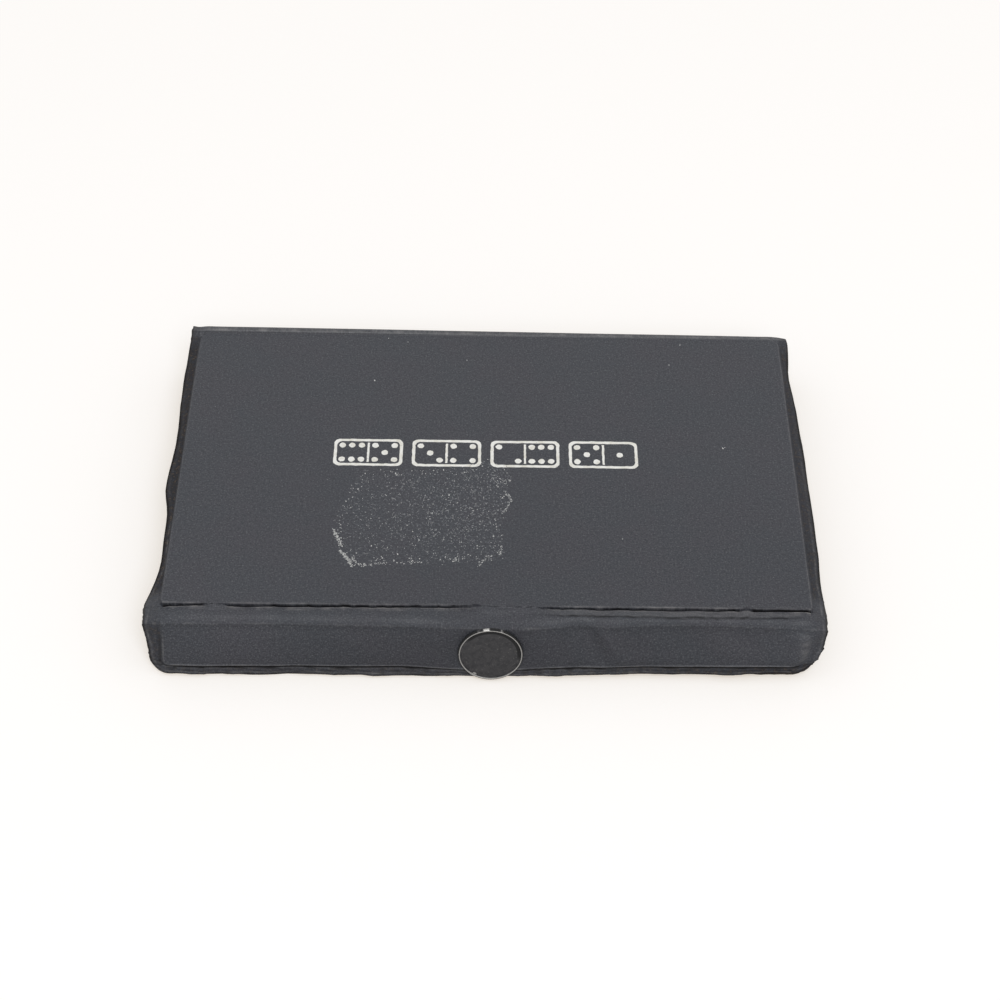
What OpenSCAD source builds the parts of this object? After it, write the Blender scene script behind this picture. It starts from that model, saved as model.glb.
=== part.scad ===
// Flat storage box for a set of dominoes.
// A wallet-like cover of two black vinyl sheets, welded round stiff boards, carries a shallow
// moulded tray. The cover folds at four welded or creased lines: twice at the back, once behind
// the front edge of the lid and once over the front edge of the tray. A press stud closes it.
// Lengths are in millimetres. The origin is the middle of the underside of the base.

/* [Tiles] */
// Length of one tile
tile_l = 40; // [34:1:46]
// Width of one tile
tile_w = 20; // [17:0.5:23]
// Thickness of one tile
tile_t = 5.5; // [5.5:0.5:8]
// Tiles side by side in one compartment
tiles_across = 7; // [6:1:8]
// Layers of tiles in one compartment
tile_layers = 2; // [2:1:3]
// Spare length and width in a compartment
tile_slack = 1.5; // [1:0.1:3]
// Spare height above the upper layer
tile_headroom = 0.5; // [0.2:0.1:2]

/* [Tray] */
// Wall and floor thickness of the moulded tray
tray_wall = 0.9; // [0.7:0.1:1.3]
// Width of the flat rim round the compartments
rim_w = 3.6; // [3.4:0.2:6]
// Thickness of the rib between the compartments
divider_w = 2; // [1.4:0.2:4]
// Slope of the outer walls from upright, in degrees
tray_draft = 12; // [8:1:14]
// Slope of the compartment walls from upright, in degrees
cavity_draft = 2; // [1:0.5:3]
// Corner radius of the tray
tray_corner_r = 4; // [3:0.5:6]
// Corner radius of a compartment
cavity_corner_r = 2; // [1:0.5:3]
// Width of a finger notch in the rib
notch_w = 20; // [16:1:26]
// Depth of a finger notch in the rib
notch_depth = 5; // [3:0.5:7]
// Distance between the two finger notches
notch_spacing = 70; // [60:2:80]

/* [Cover] */
// Thickness of one vinyl sheet
sheet_t = 0.4; // [0.3:0.05:0.5]
// Thickness of a stiffening board
board_t = 1.1; // [1:0.1:1.8]
// Corner radius of a stiffening board
board_corner_r = 2; // [1:0.5:3]
// How far the base board reaches past the foot of the tray
board_margin = 0.2; // [0.1:0.1:1]
// Width of the welded edge at the sides
flange_w = 2.6; // [2:0.2:4]
// Width of the welded edge in front of the base
front_flange_w = 1.8; // [1:0.2:2]
// Corner radius of the welded edge
flange_corner_r = 4; // [2:0.5:5]
// Flat weld between a board and a rear fold
weld_land = 0.6; // [0.4:0.1:1.2]
// Half the width of a fold strip
fold_leg = 0.8; // [0.6:0.1:1.2]
// Gap between the tray rim and the closed lid
lid_gap = 0.15; // [0.1:0.05:0.4]

/* [Flap] */
// Distance from the lid's front fold to the front bend
flap_top_l = 5.5; // [5:0.5:9]
// Distance from the lid's front fold to the raised edge of the lid
flap_fold_land = 1.2; // [1.1:0.1:2]
// Radius of the round bead on the axis of each fold
fold_bead_r = 0.38; // [0.2:0.01:0.39]
// Thickness of the thinned weld at the lid's front fold
fold_web_t = 0.5; // [0.4:0.05:0.55]
// Height of the flap's cut edge above the table
flap_floor_gap = 0.35; // [0.2:0.05:0.8]
// Radius of the flap's lower corners
flap_corner_r = 5; // [3:0.5:7]

/* [Press stud] */
// Diameter of the cap
cap_d = 15.2; // [12.5:0.1:15.4]
// How far the cap stands off the flap
cap_h = 1; // [0.8:0.05:1.05]
// Width of the raised rim of the cap
cap_rim_w = 0.35; // [0.25:0.05:0.6]
// Height of the rim above the face of the cap
cap_rim_h = 0.15; // [0.1:0.05:0.25]
// Height of the cap's lowest point above the table
cap_floor_gap = 0.8; // [0.5:0.05:1.2]
// How far the press stud sits to the right of the middle
snap_x = 1; // [-3:0.5:3]
// Radius of the cap's rivet post
post_r = 1.5; // [1.2:0.05:1.55]
// Outer diameter of the socket
socket_d = 10; // [9.6:0.1:10.2]
// Height of the socket
socket_h = 2.1; // [2.1:0.1:2.5]
// Thickness of the socket's plates
socket_plate_t = 0.4; // [0.3:0.05:0.45]
// Diameter of the hole in the socket
socket_hole_d = 5.4; // [5.4:0.1:6]
// Diameter of the chamber that holds the spring
socket_chamber_d = 8.6; // [8.5:0.1:8.8]
// Diameter of the spring wire
spring_wire_d = 0.4; // [0.3:0.05:0.45]
// Length of the spring's straight sides
spring_side_l = 3; // [2.4:0.2:3.4]
// Diameter of the stud's base
stud_d = 9.6; // [8.6:0.2:10]
// Thickness of the stud's base
stud_base_t = 0.5; // [0.4:0.05:0.6]
// Diameter of the stud's head
stud_head_d = 3.8; // [3.4:0.1:3.9]
// Diameter of the stud's neck
stud_neck_d = 3.3; // [2.9:0.1:3.3]
// Height of the stud above its base
stud_head_h = 1.7; // [1.5:0.05:1.75]
// Diameter of the rivet that holds the stud
rivet_d = 8.6; // [7.6:0.2:9]
// Thickness of the rivet's head
rivet_t = 0.6; // [0.4:0.05:0.8]
// Radius of the rivet's shank
shank_r = 0.95; // [0.8:0.05:1]
// Radial play between moving or riveted metal pieces
play = 0.05; // [0.03:0.01:0.08]
// Gap between the socket and the base of the stud
snap_play = 0.2; // [0.15:0.05:0.4]

/* [Hidden] */

$fn = 48;
corner_fn = 32;
cut = 0.5; // how far a cutting shape reaches past the face it opens
hull_skin = 0.002; // thickness of the two outlines that a drafted block is stretched between

// Compartments and tray
tile_rows = 2;
cavity_x = tiles_across * tile_w + tile_slack;
cavity_y = tile_l + tile_slack;
cavity_h = tile_layers * tile_t + tile_headroom;
cavity_pitch = cavity_y + divider_w;
tray_h = cavity_h + tray_wall;
tray_flare = tray_h * tan(tray_draft);
tray_top_x = cavity_x + 2 * rim_w;
tray_top_y = tile_rows * cavity_y + (tile_rows - 1) * divider_w + 2 * rim_w;
tray_foot_x = tray_top_x + 2 * tray_flare;
tray_foot_y = tray_top_y + 2 * tray_flare;

// Layers of a stiffened panel, counted from the lining
panel_t = 2 * sheet_t + board_t;
two_sheets = 2 * sheet_t;
tray_z = panel_t;
tray_top_z = tray_z + tray_h;
lid_z = tray_top_z + lid_gap;

// Boards, cut to the next tenth of a millimetre, and welded edges
function next_tenth(x) = ceil(10 * x) / 10;
board_x = next_tenth(tray_foot_x + 2 * board_margin);
board_y = next_tenth(tray_foot_y + 2 * board_margin);
flange_x = board_x / 2 + sheet_t + flange_w;
base_front_y = -board_y / 2 - sheet_t - front_flange_w;

// Rear folds. Each axis lies midway through the two sheets.
rear_board_step = sheet_t + weld_land + fold_leg;
rear_fold_y = board_y / 2 + rear_board_step;
lower_fold_z = panel_t - sheet_t;
upper_fold_z = lid_z + sheet_t;
spine_inner_y = rear_fold_y - sheet_t;

// Front bend and the flap's own frame, in which -Y is outwards and -Z is down the flap
snap_gap = stud_base_t + snap_play + socket_h;
bend_z = lid_z + sheet_t;
bend_y = -tray_top_y / 2 - (snap_gap + sheet_t) / cos(tray_draft)
  + (bend_z - tray_top_z) * tan(tray_draft);
bend_corner_y = bend_y - sheet_t * (1 - sin(tray_draft)) / cos(tray_draft);
lid_fold_y = bend_corner_y + flap_top_l;
lid_board_front_y = lid_fold_y + flap_fold_land + sheet_t;
flap_front_l = (bend_z - flap_floor_gap - sheet_t * sin(tray_draft)) / cos(tray_draft);
snap_drop = (bend_z + sheet_t * sin(tray_draft) - cap_floor_gap) / cos(tray_draft) - cap_d / 2;
tray_wall_y = sheet_t + snap_gap; // outer face of the tray's front wall in the flap's frame
tray_wall_n = tray_wall * cos(tray_draft);

// Rectangle with four round corners, centred
module rounded_rect(x, y, r) {
  square([x - 2 * r, y], center = true);
  square([x, y - 2 * r], center = true);
  for (i = [-1, 1], j = [-1, 1])
    translate([i * (x / 2 - r), j * (y / 2 - r)])
      circle(r);
}

// Rectangle from y0 to y1 whose two corners at y0 are round
module tab_shape(half_x, y0, y1, r) {
  translate([-half_x, y0 + r])
    square([2 * half_x, y1 - y0 - r]);
  translate([-half_x + r, y0])
    square([2 * (half_x - r), 2 * r]);
  for (i = [-1, 1])
    translate([i * (half_x - r), y0 + r])
      circle(r);
}

// Block with round corners, from z = 0 up to h, whose sides lean inwards by the draft angle
module drafted_block(foot_x, foot_y, draft, h, r) {
  lean = 2 * h * tan(draft);
  hull() {
    linear_extrude(hull_skin)
      rounded_rect(foot_x, foot_y, r, $fn = corner_fn);
    translate([0, 0, h - hull_skin])
      linear_extrude(hull_skin)
        rounded_rect(foot_x - lean, foot_y - lean, r, $fn = corner_fn);
  }
}

// The three layers of a stiffened panel lie on z = 0 with the lining down. The sheets reach from
// y0 to y1, and the board from b0 to b1. r0 rounds the sheets' corners at y0.
module sheet_shape(y0, y1, r0) {
  if (r0 > 0)
    tab_shape(flange_x, y0, y1, r0);
  else
    translate([-flange_x, y0])
      square([2 * flange_x, y1 - y0]);
}

module board_shape(b0, b1, grow) {
  translate([0, (b0 + b1) / 2])
    rounded_rect(board_x + 2 * grow, b1 - b0 + 2 * grow, board_corner_r + grow);
}

module panel_lining(y0, y1, r0 = 0) {
  linear_extrude(sheet_t)
    sheet_shape(y0, y1, r0);
}

module panel_board(b0, b1) {
  translate([0, 0, sheet_t])
    linear_extrude(board_t)
      board_shape(b0, b1, 0);
}

module panel_outer(y0, y1, b0, b1, r0 = 0) {
  difference() {
    union() {
      translate([0, 0, sheet_t])
        linear_extrude(sheet_t)
          sheet_shape(y0, y1, r0);
      translate([0, 0, sheet_t])
        linear_extrude(board_t + sheet_t)
          board_shape(b0, b1, sheet_t);
    }
    translate([0, 0, sheet_t - cut])
      linear_extrude(board_t + cut)
        board_shape(b0, b1, 0);
  }
}

// Places of the three panels
module at_base() {
  translate([0, 0, panel_t])
    mirror([0, 0, 1])
      children();
}

module at_spine() {
  translate([0, spine_inner_y, 0])
    rotate([90, 0, 0])
      mirror([0, 0, 1])
        children();
}

module at_lid() {
  translate([0, 0, lid_z])
    children();
}

module at_flap() {
  translate([0, bend_y, bend_z])
    rotate([-tray_draft, 0, 0])
      children();
}

// Axis of the press stud, with z = 0 at the flap's middle plane and z growing inwards
module at_snap() {
  at_flap()
    translate([snap_x, 0, -snap_drop])
      rotate([-90, 0, 0])
        children();
}

base_sheet_end = rear_fold_y - fold_leg;
spine_sheet_start = lower_fold_z + fold_leg;
spine_sheet_end = upper_fold_z - fold_leg;
spine_board_start = lower_fold_z + rear_board_step;
spine_board_end = upper_fold_z - rear_board_step;
lid_sheet_start = lid_fold_y + fold_leg;
lid_sheet_end = rear_fold_y - fold_leg;

module base_outer_vinyl() {
  color("#2b2c2f")
    at_base()
      panel_outer(base_front_y, base_sheet_end, -board_y / 2, board_y / 2, flange_corner_r);
}

module base_board() {
  color("#8d8577")
    at_base()
      panel_board(-board_y / 2, board_y / 2);
}

module base_lining() {
  color("#232427")
    at_base()
      panel_lining(base_front_y, base_sheet_end, flange_corner_r);
}

module spine_outer_vinyl() {
  color("#2b2c2f")
    at_spine()
      panel_outer(spine_sheet_start, spine_sheet_end, spine_board_start, spine_board_end);
}

module spine_board() {
  color("#8d8577")
    at_spine()
      panel_board(spine_board_start, spine_board_end);
}

module spine_lining() {
  color("#232427")
    at_spine()
      panel_lining(spine_sheet_start, spine_sheet_end);
}

module lid_outer_vinyl() {
  color("#2b2c2f")
    at_lid()
      panel_outer(lid_sheet_start, lid_sheet_end, lid_board_front_y, board_y / 2);
}

module lid_board() {
  color("#8d8577")
    at_lid()
      panel_board(lid_board_front_y, board_y / 2);
}

module lid_lining() {
  color("#232427")
    at_lid()
      panel_lining(lid_sheet_start, lid_sheet_end);
}

// Strip of the two welded sheets folded round an axis along X at (y, z). One leg runs
// towards -Y, and the other leaves at the given angle below -Y, or at 90 upwards for -90.
module fold_strip(y, z, other_leg_angle) {
  translate([0, y, z]) {
    rotate([0, 90, 0])
      cylinder(h = 2 * flange_x, r = fold_bead_r, center = true);
    for (a = [0, other_leg_angle])
      rotate([a, 0, 0])
        translate([-flange_x, -fold_leg, -sheet_t])
          cube([2 * flange_x, fold_leg, two_sheets]);
  }
}

module rear_lower_fold() {
  color("#242528")
    fold_strip(rear_fold_y, lower_fold_z, -90);
}

module rear_upper_fold() {
  color("#242528")
    fold_strip(rear_fold_y, upper_fold_z, 90);
}

// Thinned weld between the lid and the flap, with a round bead on its axis
module lid_front_fold() {
  color("#242528")
    translate([0, lid_fold_y, lid_z + sheet_t]) {
      rotate([0, 90, 0])
        cylinder(h = 2 * flange_x, r = fold_bead_r, center = true);
      translate([-flange_x, -fold_leg, -fold_web_t / 2])
        cube([2 * flange_x, 2 * fold_leg, fold_web_t]);
    }
}

module flap_top_sheet(layer) {
  translate([-flange_x, bend_y + fold_leg, lid_z + layer * sheet_t])
    cube([2 * flange_x, lid_fold_y - bend_y - 2 * fold_leg, sheet_t]);
}

module flap_top_outer_vinyl() {
  color("#2b2c2f")
    flap_top_sheet(1);
}

module flap_top_lining() {
  color("#232427")
    flap_top_sheet(0);
}

// The two sheets turn down over the front edge of the tray
module front_bend() {
  color("#242528")
    translate([0, bend_y, bend_z]) {
      rotate([0, 90, 0])
        cylinder(h = 2 * flange_x, r = fold_bead_r, center = true);
      translate([-flange_x, 0, -sheet_t])
        cube([2 * flange_x, fold_leg, two_sheets]);
      rotate([-tray_draft, 0, 0])
        translate([-flange_x, -sheet_t, -fold_leg])
          cube([2 * flange_x, two_sheets, fold_leg]);
    }
}

// One sheet of the flap's hanging front, from y0 to y0 + sheet_t in the flap's frame
module flap_front_sheet(y0) {
  difference() {
    at_flap()
      translate([0, y0 + sheet_t, 0])
        rotate([90, 0, 0])
          linear_extrude(sheet_t)
            tab_shape(flange_x, -flap_front_l, -fold_leg, flap_corner_r);
    at_snap()
      cylinder(h = 4 * sheet_t, r = post_r + play, center = true);
  }
}

module flap_front_outer_vinyl() {
  color("#2b2c2f")
    flap_front_sheet(-sheet_t);
}

module flap_front_lining() {
  color("#232427")
    flap_front_sheet(0);
}

// Cap with a raised rim, a flat painted face and a hollow rivet post that holds the socket
module snap_cap() {
  face = -sheet_t - cap_h;
  shell_t = 0.45;
  color("#303136")
    at_snap()
      rotate_extrude()
        difference() {
          union() {
            translate([0, face + cap_rim_h])
              square([cap_d / 2 - cap_rim_w, cap_h - cap_rim_h]);
            translate([cap_d / 2 - cap_rim_w, face])
              square([cap_rim_w, cap_h]);
            translate([0, -sheet_t])
              square([post_r, two_sheets + socket_plate_t]);
          }
          translate([post_r, face + cap_rim_h + shell_t])
            square([cap_d / 2 - cap_rim_w - post_r, cap_h - cap_rim_h - shell_t + cut / 10]);
        }
}

// Pressed socket: a back plate, an inner chamber for the spring and an open mouth
module snap_socket() {
  chamber_z = sheet_t + socket_plate_t;
  mouth_z = sheet_t + socket_h;
  color("#b9bbbf")
    at_snap()
      rotate_extrude()
        difference() {
          translate([post_r + play, sheet_t])
            square([socket_d / 2 - post_r - play, socket_h]);
          translate([0, chamber_z])
            square([socket_hole_d / 2, socket_h]);
          translate([0, chamber_z])
            square([socket_chamber_d / 2, mouth_z - socket_plate_t - chamber_z]);
        }
}

// Closed loop of spring wire with two straight sides that grip the stud's neck
module socket_spring() {
  half_gap = stud_head_d / 2 + 2 * play + spring_wire_d / 2;
  spring_z = sheet_t + socket_h / 2;
  color("#8c8f94")
    at_snap()
      translate([0, 0, spring_z]) {
        for (i = [-1, 1])
          translate([i * half_gap, 0, 0])
            rotate([90, 0, 0])
              cylinder(h = spring_side_l, d = spring_wire_d, center = true);
        for (turn = [0, 180])
          rotate([0, 0, turn])
            translate([0, spring_side_l / 2, 0])
              rotate_extrude(angle = 180)
                translate([half_gap, 0])
                  circle(d = spring_wire_d);
      }
}

// Stud on the tray's front wall, facing the socket
module press_stud() {
  base_z = tray_wall_y - stud_base_t;
  tip_r = stud_head_d / 2;
  tip_round = 0.4;
  neck_h = stud_head_h / 2;
  shank_depth = stud_base_t + stud_head_h / 2;
  color("#c2c4c8")
    at_snap()
      rotate_extrude()
        difference() {
          union() {
            translate([0, base_z])
              square([stud_d / 2, stud_base_t]);
            translate([0, base_z - neck_h])
              square([stud_neck_d / 2, neck_h]);
            translate([0, base_z - stud_head_h + tip_round])
              square([tip_r, stud_head_h - neck_h - tip_round]);
            translate([0, base_z - stud_head_h])
              square([tip_r - tip_round, tip_round]);
            translate([tip_r - tip_round, base_z - stud_head_h + tip_round])
              circle(tip_round);
          }
          translate([0, tray_wall_y - shank_depth])
            square([shank_r + play, shank_depth + cut]);
        }
}

// Rivet through the tray's front wall into the stud
module stud_rivet() {
  head_z = tray_wall_y + tray_wall_n;
  shank_l = tray_wall_n + stud_base_t + stud_head_h / 4;
  color("#a9abb0")
    at_snap() {
      translate([0, 0, head_z])
        cylinder(h = rivet_t, d = rivet_d);
      translate([0, 0, head_z - shank_l])
        cylinder(h = shank_l, r = shank_r);
    }
}

module cavity(row) {
  shrink = 2 * cavity_h * tan(cavity_draft);
  translate([0, row * cavity_pitch / 2, tray_wall])
    drafted_block(cavity_x - shrink, cavity_y - shrink, -cavity_draft, cavity_h + cut,
      cavity_corner_r);
}

// Space between the sloping outer wall and the compartment walls, open below
module tray_hollow() {
  flare = 2 * cut * tan(tray_draft) - 2 * tray_wall;
  difference() {
    translate([0, 0, -cut])
      drafted_block(tray_foot_x + flare, tray_foot_y + flare, tray_draft,
        tray_h - tray_wall + cut, tray_corner_r - tray_wall);
    translate([0, 0, -2 * cut])
      linear_extrude(tray_h + 2 * cut)
        rounded_rect(cavity_x + 2 * tray_wall,
          tile_rows * cavity_y + divider_w + 2 * tray_wall,
          cavity_corner_r + tray_wall);
  }
}

module tray() {
  notch_r = (notch_w * notch_w / 4 + notch_depth * notch_depth) / (2 * notch_depth);
  color("#1f2022")
    difference() {
      translate([0, 0, tray_z])
        difference() {
          drafted_block(tray_foot_x, tray_foot_y, tray_draft, tray_h, tray_corner_r);
          tray_hollow();
          for (row = [-1, 1])
            cavity(row);
          for (i = [-1, 1])
            translate([i * notch_spacing / 2, 0, tray_h + notch_r - notch_depth])
              rotate([90, 0, 0])
                cylinder(h = divider_w + 2 * cut, r = notch_r, center = true, $fn = 96);
        }
      at_snap()
        translate([0, 0, tray_wall_y - cut])
          cylinder(h = tray_wall_n + 2 * cut, r = shank_r + play);
    }
}

base_outer_vinyl();
base_board();
base_lining();
tray();
press_stud();
stud_rivet();
rear_lower_fold();
spine_outer_vinyl();
spine_board();
spine_lining();
rear_upper_fold();
lid_outer_vinyl();
lid_board();
lid_lining();
lid_front_fold();
flap_top_outer_vinyl();
flap_top_lining();
front_bend();
flap_front_outer_vinyl();
flap_front_lining();
snap_cap();
snap_socket();
socket_spring();
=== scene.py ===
import math

import bmesh
import bpy
import numpy as np
from mathutils import Matrix, Vector


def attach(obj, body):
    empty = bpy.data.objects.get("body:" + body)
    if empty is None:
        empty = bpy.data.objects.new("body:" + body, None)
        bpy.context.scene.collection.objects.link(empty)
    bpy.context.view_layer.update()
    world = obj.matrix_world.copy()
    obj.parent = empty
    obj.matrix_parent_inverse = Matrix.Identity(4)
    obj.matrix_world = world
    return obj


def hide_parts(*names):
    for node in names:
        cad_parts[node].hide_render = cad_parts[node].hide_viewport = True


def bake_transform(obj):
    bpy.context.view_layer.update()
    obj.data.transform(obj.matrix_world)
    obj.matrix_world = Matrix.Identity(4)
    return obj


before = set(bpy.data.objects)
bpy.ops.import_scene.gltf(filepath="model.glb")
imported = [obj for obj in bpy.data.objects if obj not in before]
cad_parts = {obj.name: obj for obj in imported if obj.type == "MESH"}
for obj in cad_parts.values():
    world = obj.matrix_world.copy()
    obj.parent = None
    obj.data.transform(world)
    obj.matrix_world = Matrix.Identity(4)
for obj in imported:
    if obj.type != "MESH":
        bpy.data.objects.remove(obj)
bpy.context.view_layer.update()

# Lengths below are millimetres in the frame of the part; meshes are made in metres.
milli = 0.001


def smooth(low, high, value):
    # 0 at low and 1 at high, smooth between them
    t = np.clip((np.asarray(value, float) - low) / (high - low), 0, 1)
    return t * t * (3 - 2 * t)


def bump(value, middle, width):
    # a soft hump of height 1
    return np.exp(-((np.asarray(value, float) - middle) / width) ** 2)


def knots(value, pairs):
    # a smooth line through measured points, given as (place, amount)
    places = np.array([pair[0] for pair in pairs], float)
    amounts = np.array([pair[1] for pair in pairs], float)
    order = np.argsort(places)
    places = places[order]
    amounts = amounts[order]
    slopes = np.gradient(amounts, places)
    value = np.clip(np.asarray(value, float), places[0], places[-1])
    i = np.clip(np.searchsorted(places, value) - 1, 0, len(places) - 2)
    gap = places[i + 1] - places[i]
    t = (value - places[i]) / gap
    first = (2 * t ** 3 - 3 * t ** 2 + 1) * amounts[i] + (t ** 3 - 2 * t ** 2 + t) * gap * slopes[i]
    second = (3 * t ** 2 - 2 * t ** 3) * amounts[i + 1] + (t ** 3 - t ** 2) * gap * slopes[i + 1]
    return first + second


def ripple(seed, across, along, shortest, longest):
    # seeded unevenness of about unit height, made of plain waves in many directions
    random = np.random.default_rng(seed)
    waves = 14
    total = 0
    for _ in range(waves):
        length = math.exp(random.uniform(math.log(shortest), math.log(longest)))
        turn = random.uniform(0, 2 * math.pi)
        shift = random.uniform(0, 2 * math.pi)
        step = 2 * math.pi / length
        total += np.sin(step * (math.cos(turn) * across + math.sin(turn) * along) + shift)
    return total / math.sqrt(waves / 2)


def lines(*stops):
    # grid lines through the given places, each stretch with its own widest spacing
    found = [stops[0][0]]
    for (here, spacing), (there, _) in zip(stops, stops[1:]):
        count = max(1, int(math.ceil((there - here) / spacing - 1e-6)))
        found.extend(here + (there - here) * (k + 1) / count for k in range(count))
    return np.array(found)


def outsideOf(across, along, halfAcross, start, end, corner):
    # signed distance from a rectangle with round corners, negative inside it
    middle = (start + end) / 2
    dx = np.abs(across) - (halfAcross - corner)
    dy = np.abs(along - middle) - ((end - start) / 2 - corner)
    outer = np.hypot(np.maximum(dx, 0), np.maximum(dy, 0))
    return outer + np.minimum(np.maximum(dx, dy), 0) - corner


def evenly(loop, step):
    # a closed loop of (x, y) points with more points along its longer sides
    found = []
    for (ax, ay), (bx, by) in zip(loop, loop[1:] + loop[:1]):
        count = max(1, int(math.hypot(bx - ax, by - ay) / step))
        found.extend((ax + (bx - ax) * k / count, ay + (by - ay) * k / count) for k in range(count))
    return found


def toRight(steps):
    # unit vectors to the right of the way that a path's steps run
    steps = steps / np.maximum(np.hypot(steps[:, 0], steps[:, 1]), 1e-9)[:, None]
    return np.stack([steps[:, 1], -steps[:, 0]], 1)


def newPiece(name, points, faces, materials, faceMaterial=None, sharp=40, attributes=None):
    # points are in millimetres, and edges that turn by more than the sharp angle stay crisp
    mesh = bpy.data.meshes.new(name)
    mesh.from_pydata((np.asarray(points, float) * milli).tolist(), [], faces)
    for material in materials:
        mesh.materials.append(material)
    if faceMaterial is not None:
        mesh.polygons.foreach_set("material_index", np.asarray(faceMaterial, dtype=np.int32))
    for key, values in (attributes or {}).items():
        values = np.asarray(values, dtype=np.float32)
        kind, field = ("FLOAT_VECTOR", "vector") if values.ndim == 2 else ("FLOAT", "value")
        mesh.attributes.new(key, kind, "POINT").data.foreach_set(field, values.ravel())
    shape = bmesh.new()
    shape.from_mesh(mesh)
    for face in shape.faces:
        face.smooth = True
    for edge in shape.edges:
        if edge.calc_face_angle(0) > math.radians(sharp):
            edge.smooth = False
    shape.to_mesh(mesh)
    shape.free()
    mesh.update()
    piece = bpy.data.objects.new(name, mesh)
    bpy.context.scene.collection.objects.link(piece)
    return piece


class Wire:
    # one output socket; Python's operators on it add Math nodes
    def __init__(self, finish, socket):
        self.finish = finish
        self.socket = socket

    def joined(self, operation, first, second):
        return self.finish.node("ShaderNodeMath", {"operation": operation}, {0: first, 1: second})

    def __add__(self, other):
        return self.joined("ADD", self, other)

    def __radd__(self, other):
        return self.joined("ADD", other, self)

    def __sub__(self, other):
        return self.joined("SUBTRACT", self, other)

    def __rsub__(self, other):
        return self.joined("SUBTRACT", other, self)

    def __mul__(self, other):
        return self.joined("MULTIPLY", self, other)

    def __rmul__(self, other):
        return self.joined("MULTIPLY", other, self)

    def larger(self, other):
        return self.joined("MAXIMUM", self, other)

    def between(self, low, high):
        # 0 at low and 1 at high, smooth between them
        return self.finish.node("ShaderNodeMapRange", {"interpolation_type": "SMOOTHSTEP"},
                                {"Value": self, "From Min": low, "From Max": high})


class Finish:
    # one material and the nodes in it
    def __init__(self, name, world=False):
        self.material = (bpy.data.worlds if world else bpy.data.materials).new(name)
        self.material.use_nodes = True
        self.tree = self.material.node_tree
        self.tree.nodes.clear()

    def node(self, kind, settings=None, sockets=None, output=0):
        made = self.tree.nodes.new(kind)
        for key, value in (settings or {}).items():
            setattr(made, key, value)
        for key, value in (sockets or {}).items():
            if isinstance(value, Wire):
                self.tree.links.new(value.socket, made.inputs[key])
            else:
                made.inputs[key].default_value = value
        return Wire(self, made.outputs[output]) if made.outputs else None

    def attribute(self, name, output="Fac"):
        return self.node("ShaderNodeAttribute", {"attribute_name": name}, output=output)

    def place(self):
        # the object's own coordinates, in millimetres
        spot = self.node("ShaderNodeTexCoord", output="Object")
        return self.stretched(spot, (1 / milli,) * 3)

    def stretched(self, vector, amounts):
        return self.node("ShaderNodeVectorMath", {"operation": "MULTIPLY"}, {0: vector, 1: amounts})

    def noise(self, vector, scale, detail, rough):
        return self.node("ShaderNodeTexNoise", {}, {"Vector": vector, "Scale": scale,
                                                    "Detail": detail, "Roughness": rough})

    def cells(self, vector, scale):
        return self.node("ShaderNodeTexVoronoi", {}, {"Vector": vector, "Scale": scale})

    def mixed(self, mask, first, second):
        # the first colour where the mask is 0 and the second where it is 1
        return self.node("ShaderNodeMix", {"data_type": "RGBA"}, {0: mask, 6: first, 7: second}, 2)

    def relief(self, height, depth):
        # depth is how many millimetres a height of 1 stands up
        return self.node("ShaderNodeBump", {}, {"Height": height, "Distance": depth * milli})

    def shader(self, colour, roughness, others):
        sockets = {"Base Color": colour, "Roughness": roughness, **others}
        return self.node("ShaderNodeBsdfPrincipled", {}, sockets)

    def surface(self, colour, roughness, height=None, depth=0.0, others=None):
        others = dict(others or {})
        if height is not None:
            others["Normal"] = self.relief(height, depth)
        shader = self.shader(colour, roughness, others)
        self.node("ShaderNodeOutputMaterial", {}, {"Surface": shader})
        return self.material


def shade(red, green, blue):
    # a colour as a screen shows it, 0 to 255, in the linear values that Blender takes
    def linear(value):
        value = value / 255
        return value / 12.92 if value <= 0.04045 else ((value + 0.055) / 1.055) ** 2.4
    return (linear(red), linear(green), linear(blue), 1.0)


# The cover: its section is followed from the front edge of the base, up the spine and over the
# lid to the lower edge of the flap, midway between the two sheets. A place on it is given as
# across, from the middle to the right, and along, from the front edge of the base.
cover = {
    "halfWidth": 80.2,
    "frontEdge": -51.15,
    "foldY": 50.75,
    "lowerFoldZ": 1.5,
    "upperFoldZ": 14.85,
    "lidFoldY": -44.078,
    "bendY": -49.255,
    "flapLean": 12.0,
    "flapLength": 14.739,
    "rearRadius": 0.5,
    "bendRadius": 1.0,
    "sheet": 0.4,
    "board": 1.1,
    "boardHalfX": 77.2,
    "boardHalfY": 48.95,
    "spineBoard": (3.3, 13.05),
    "lidBoardFront": -42.478,
    "boardCorner": 2.0,
    "shoulder": 0.72,
    "parting": 0.1,  # of the two sheets at the cut edge, inside the width that partingWidth gives
    "partingWidth": 1.5,
    "thinnest": 0.12,
    "stretchedFrom": (78.0, 72.0),  # where the plain grid starts to widen to the cut edge: lid, flap
    "seams": (8.175, 49.78, -45.0),  # z on the spine, then y at the back and the front of the lid
}
rearTurn = math.radians(90)
frontTurn = math.radians(90 - cover["flapLean"])
rearCut = cover["rearRadius"]
frontCut = cover["bendRadius"] * math.tan(frontTurn / 2)
spare = 5.0  # the section runs on past both ends, for edges that stand out
legs = [  # flat, then round, by turns: base, lower rear fold, spine, upper rear fold, lid, bend, flap
    cover["foldY"] - cover["frontEdge"] - rearCut,
    cover["rearRadius"] * rearTurn,
    cover["upperFoldZ"] - cover["lowerFoldZ"] - 2 * rearCut,
    cover["rearRadius"] * rearTurn,
    cover["foldY"] - cover["bendY"] - rearCut - frontCut,
    cover["bendRadius"] * frontTurn,
    cover["flapLength"] - frontCut,
]
stations = np.concatenate([[0], np.cumsum(legs)])
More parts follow.
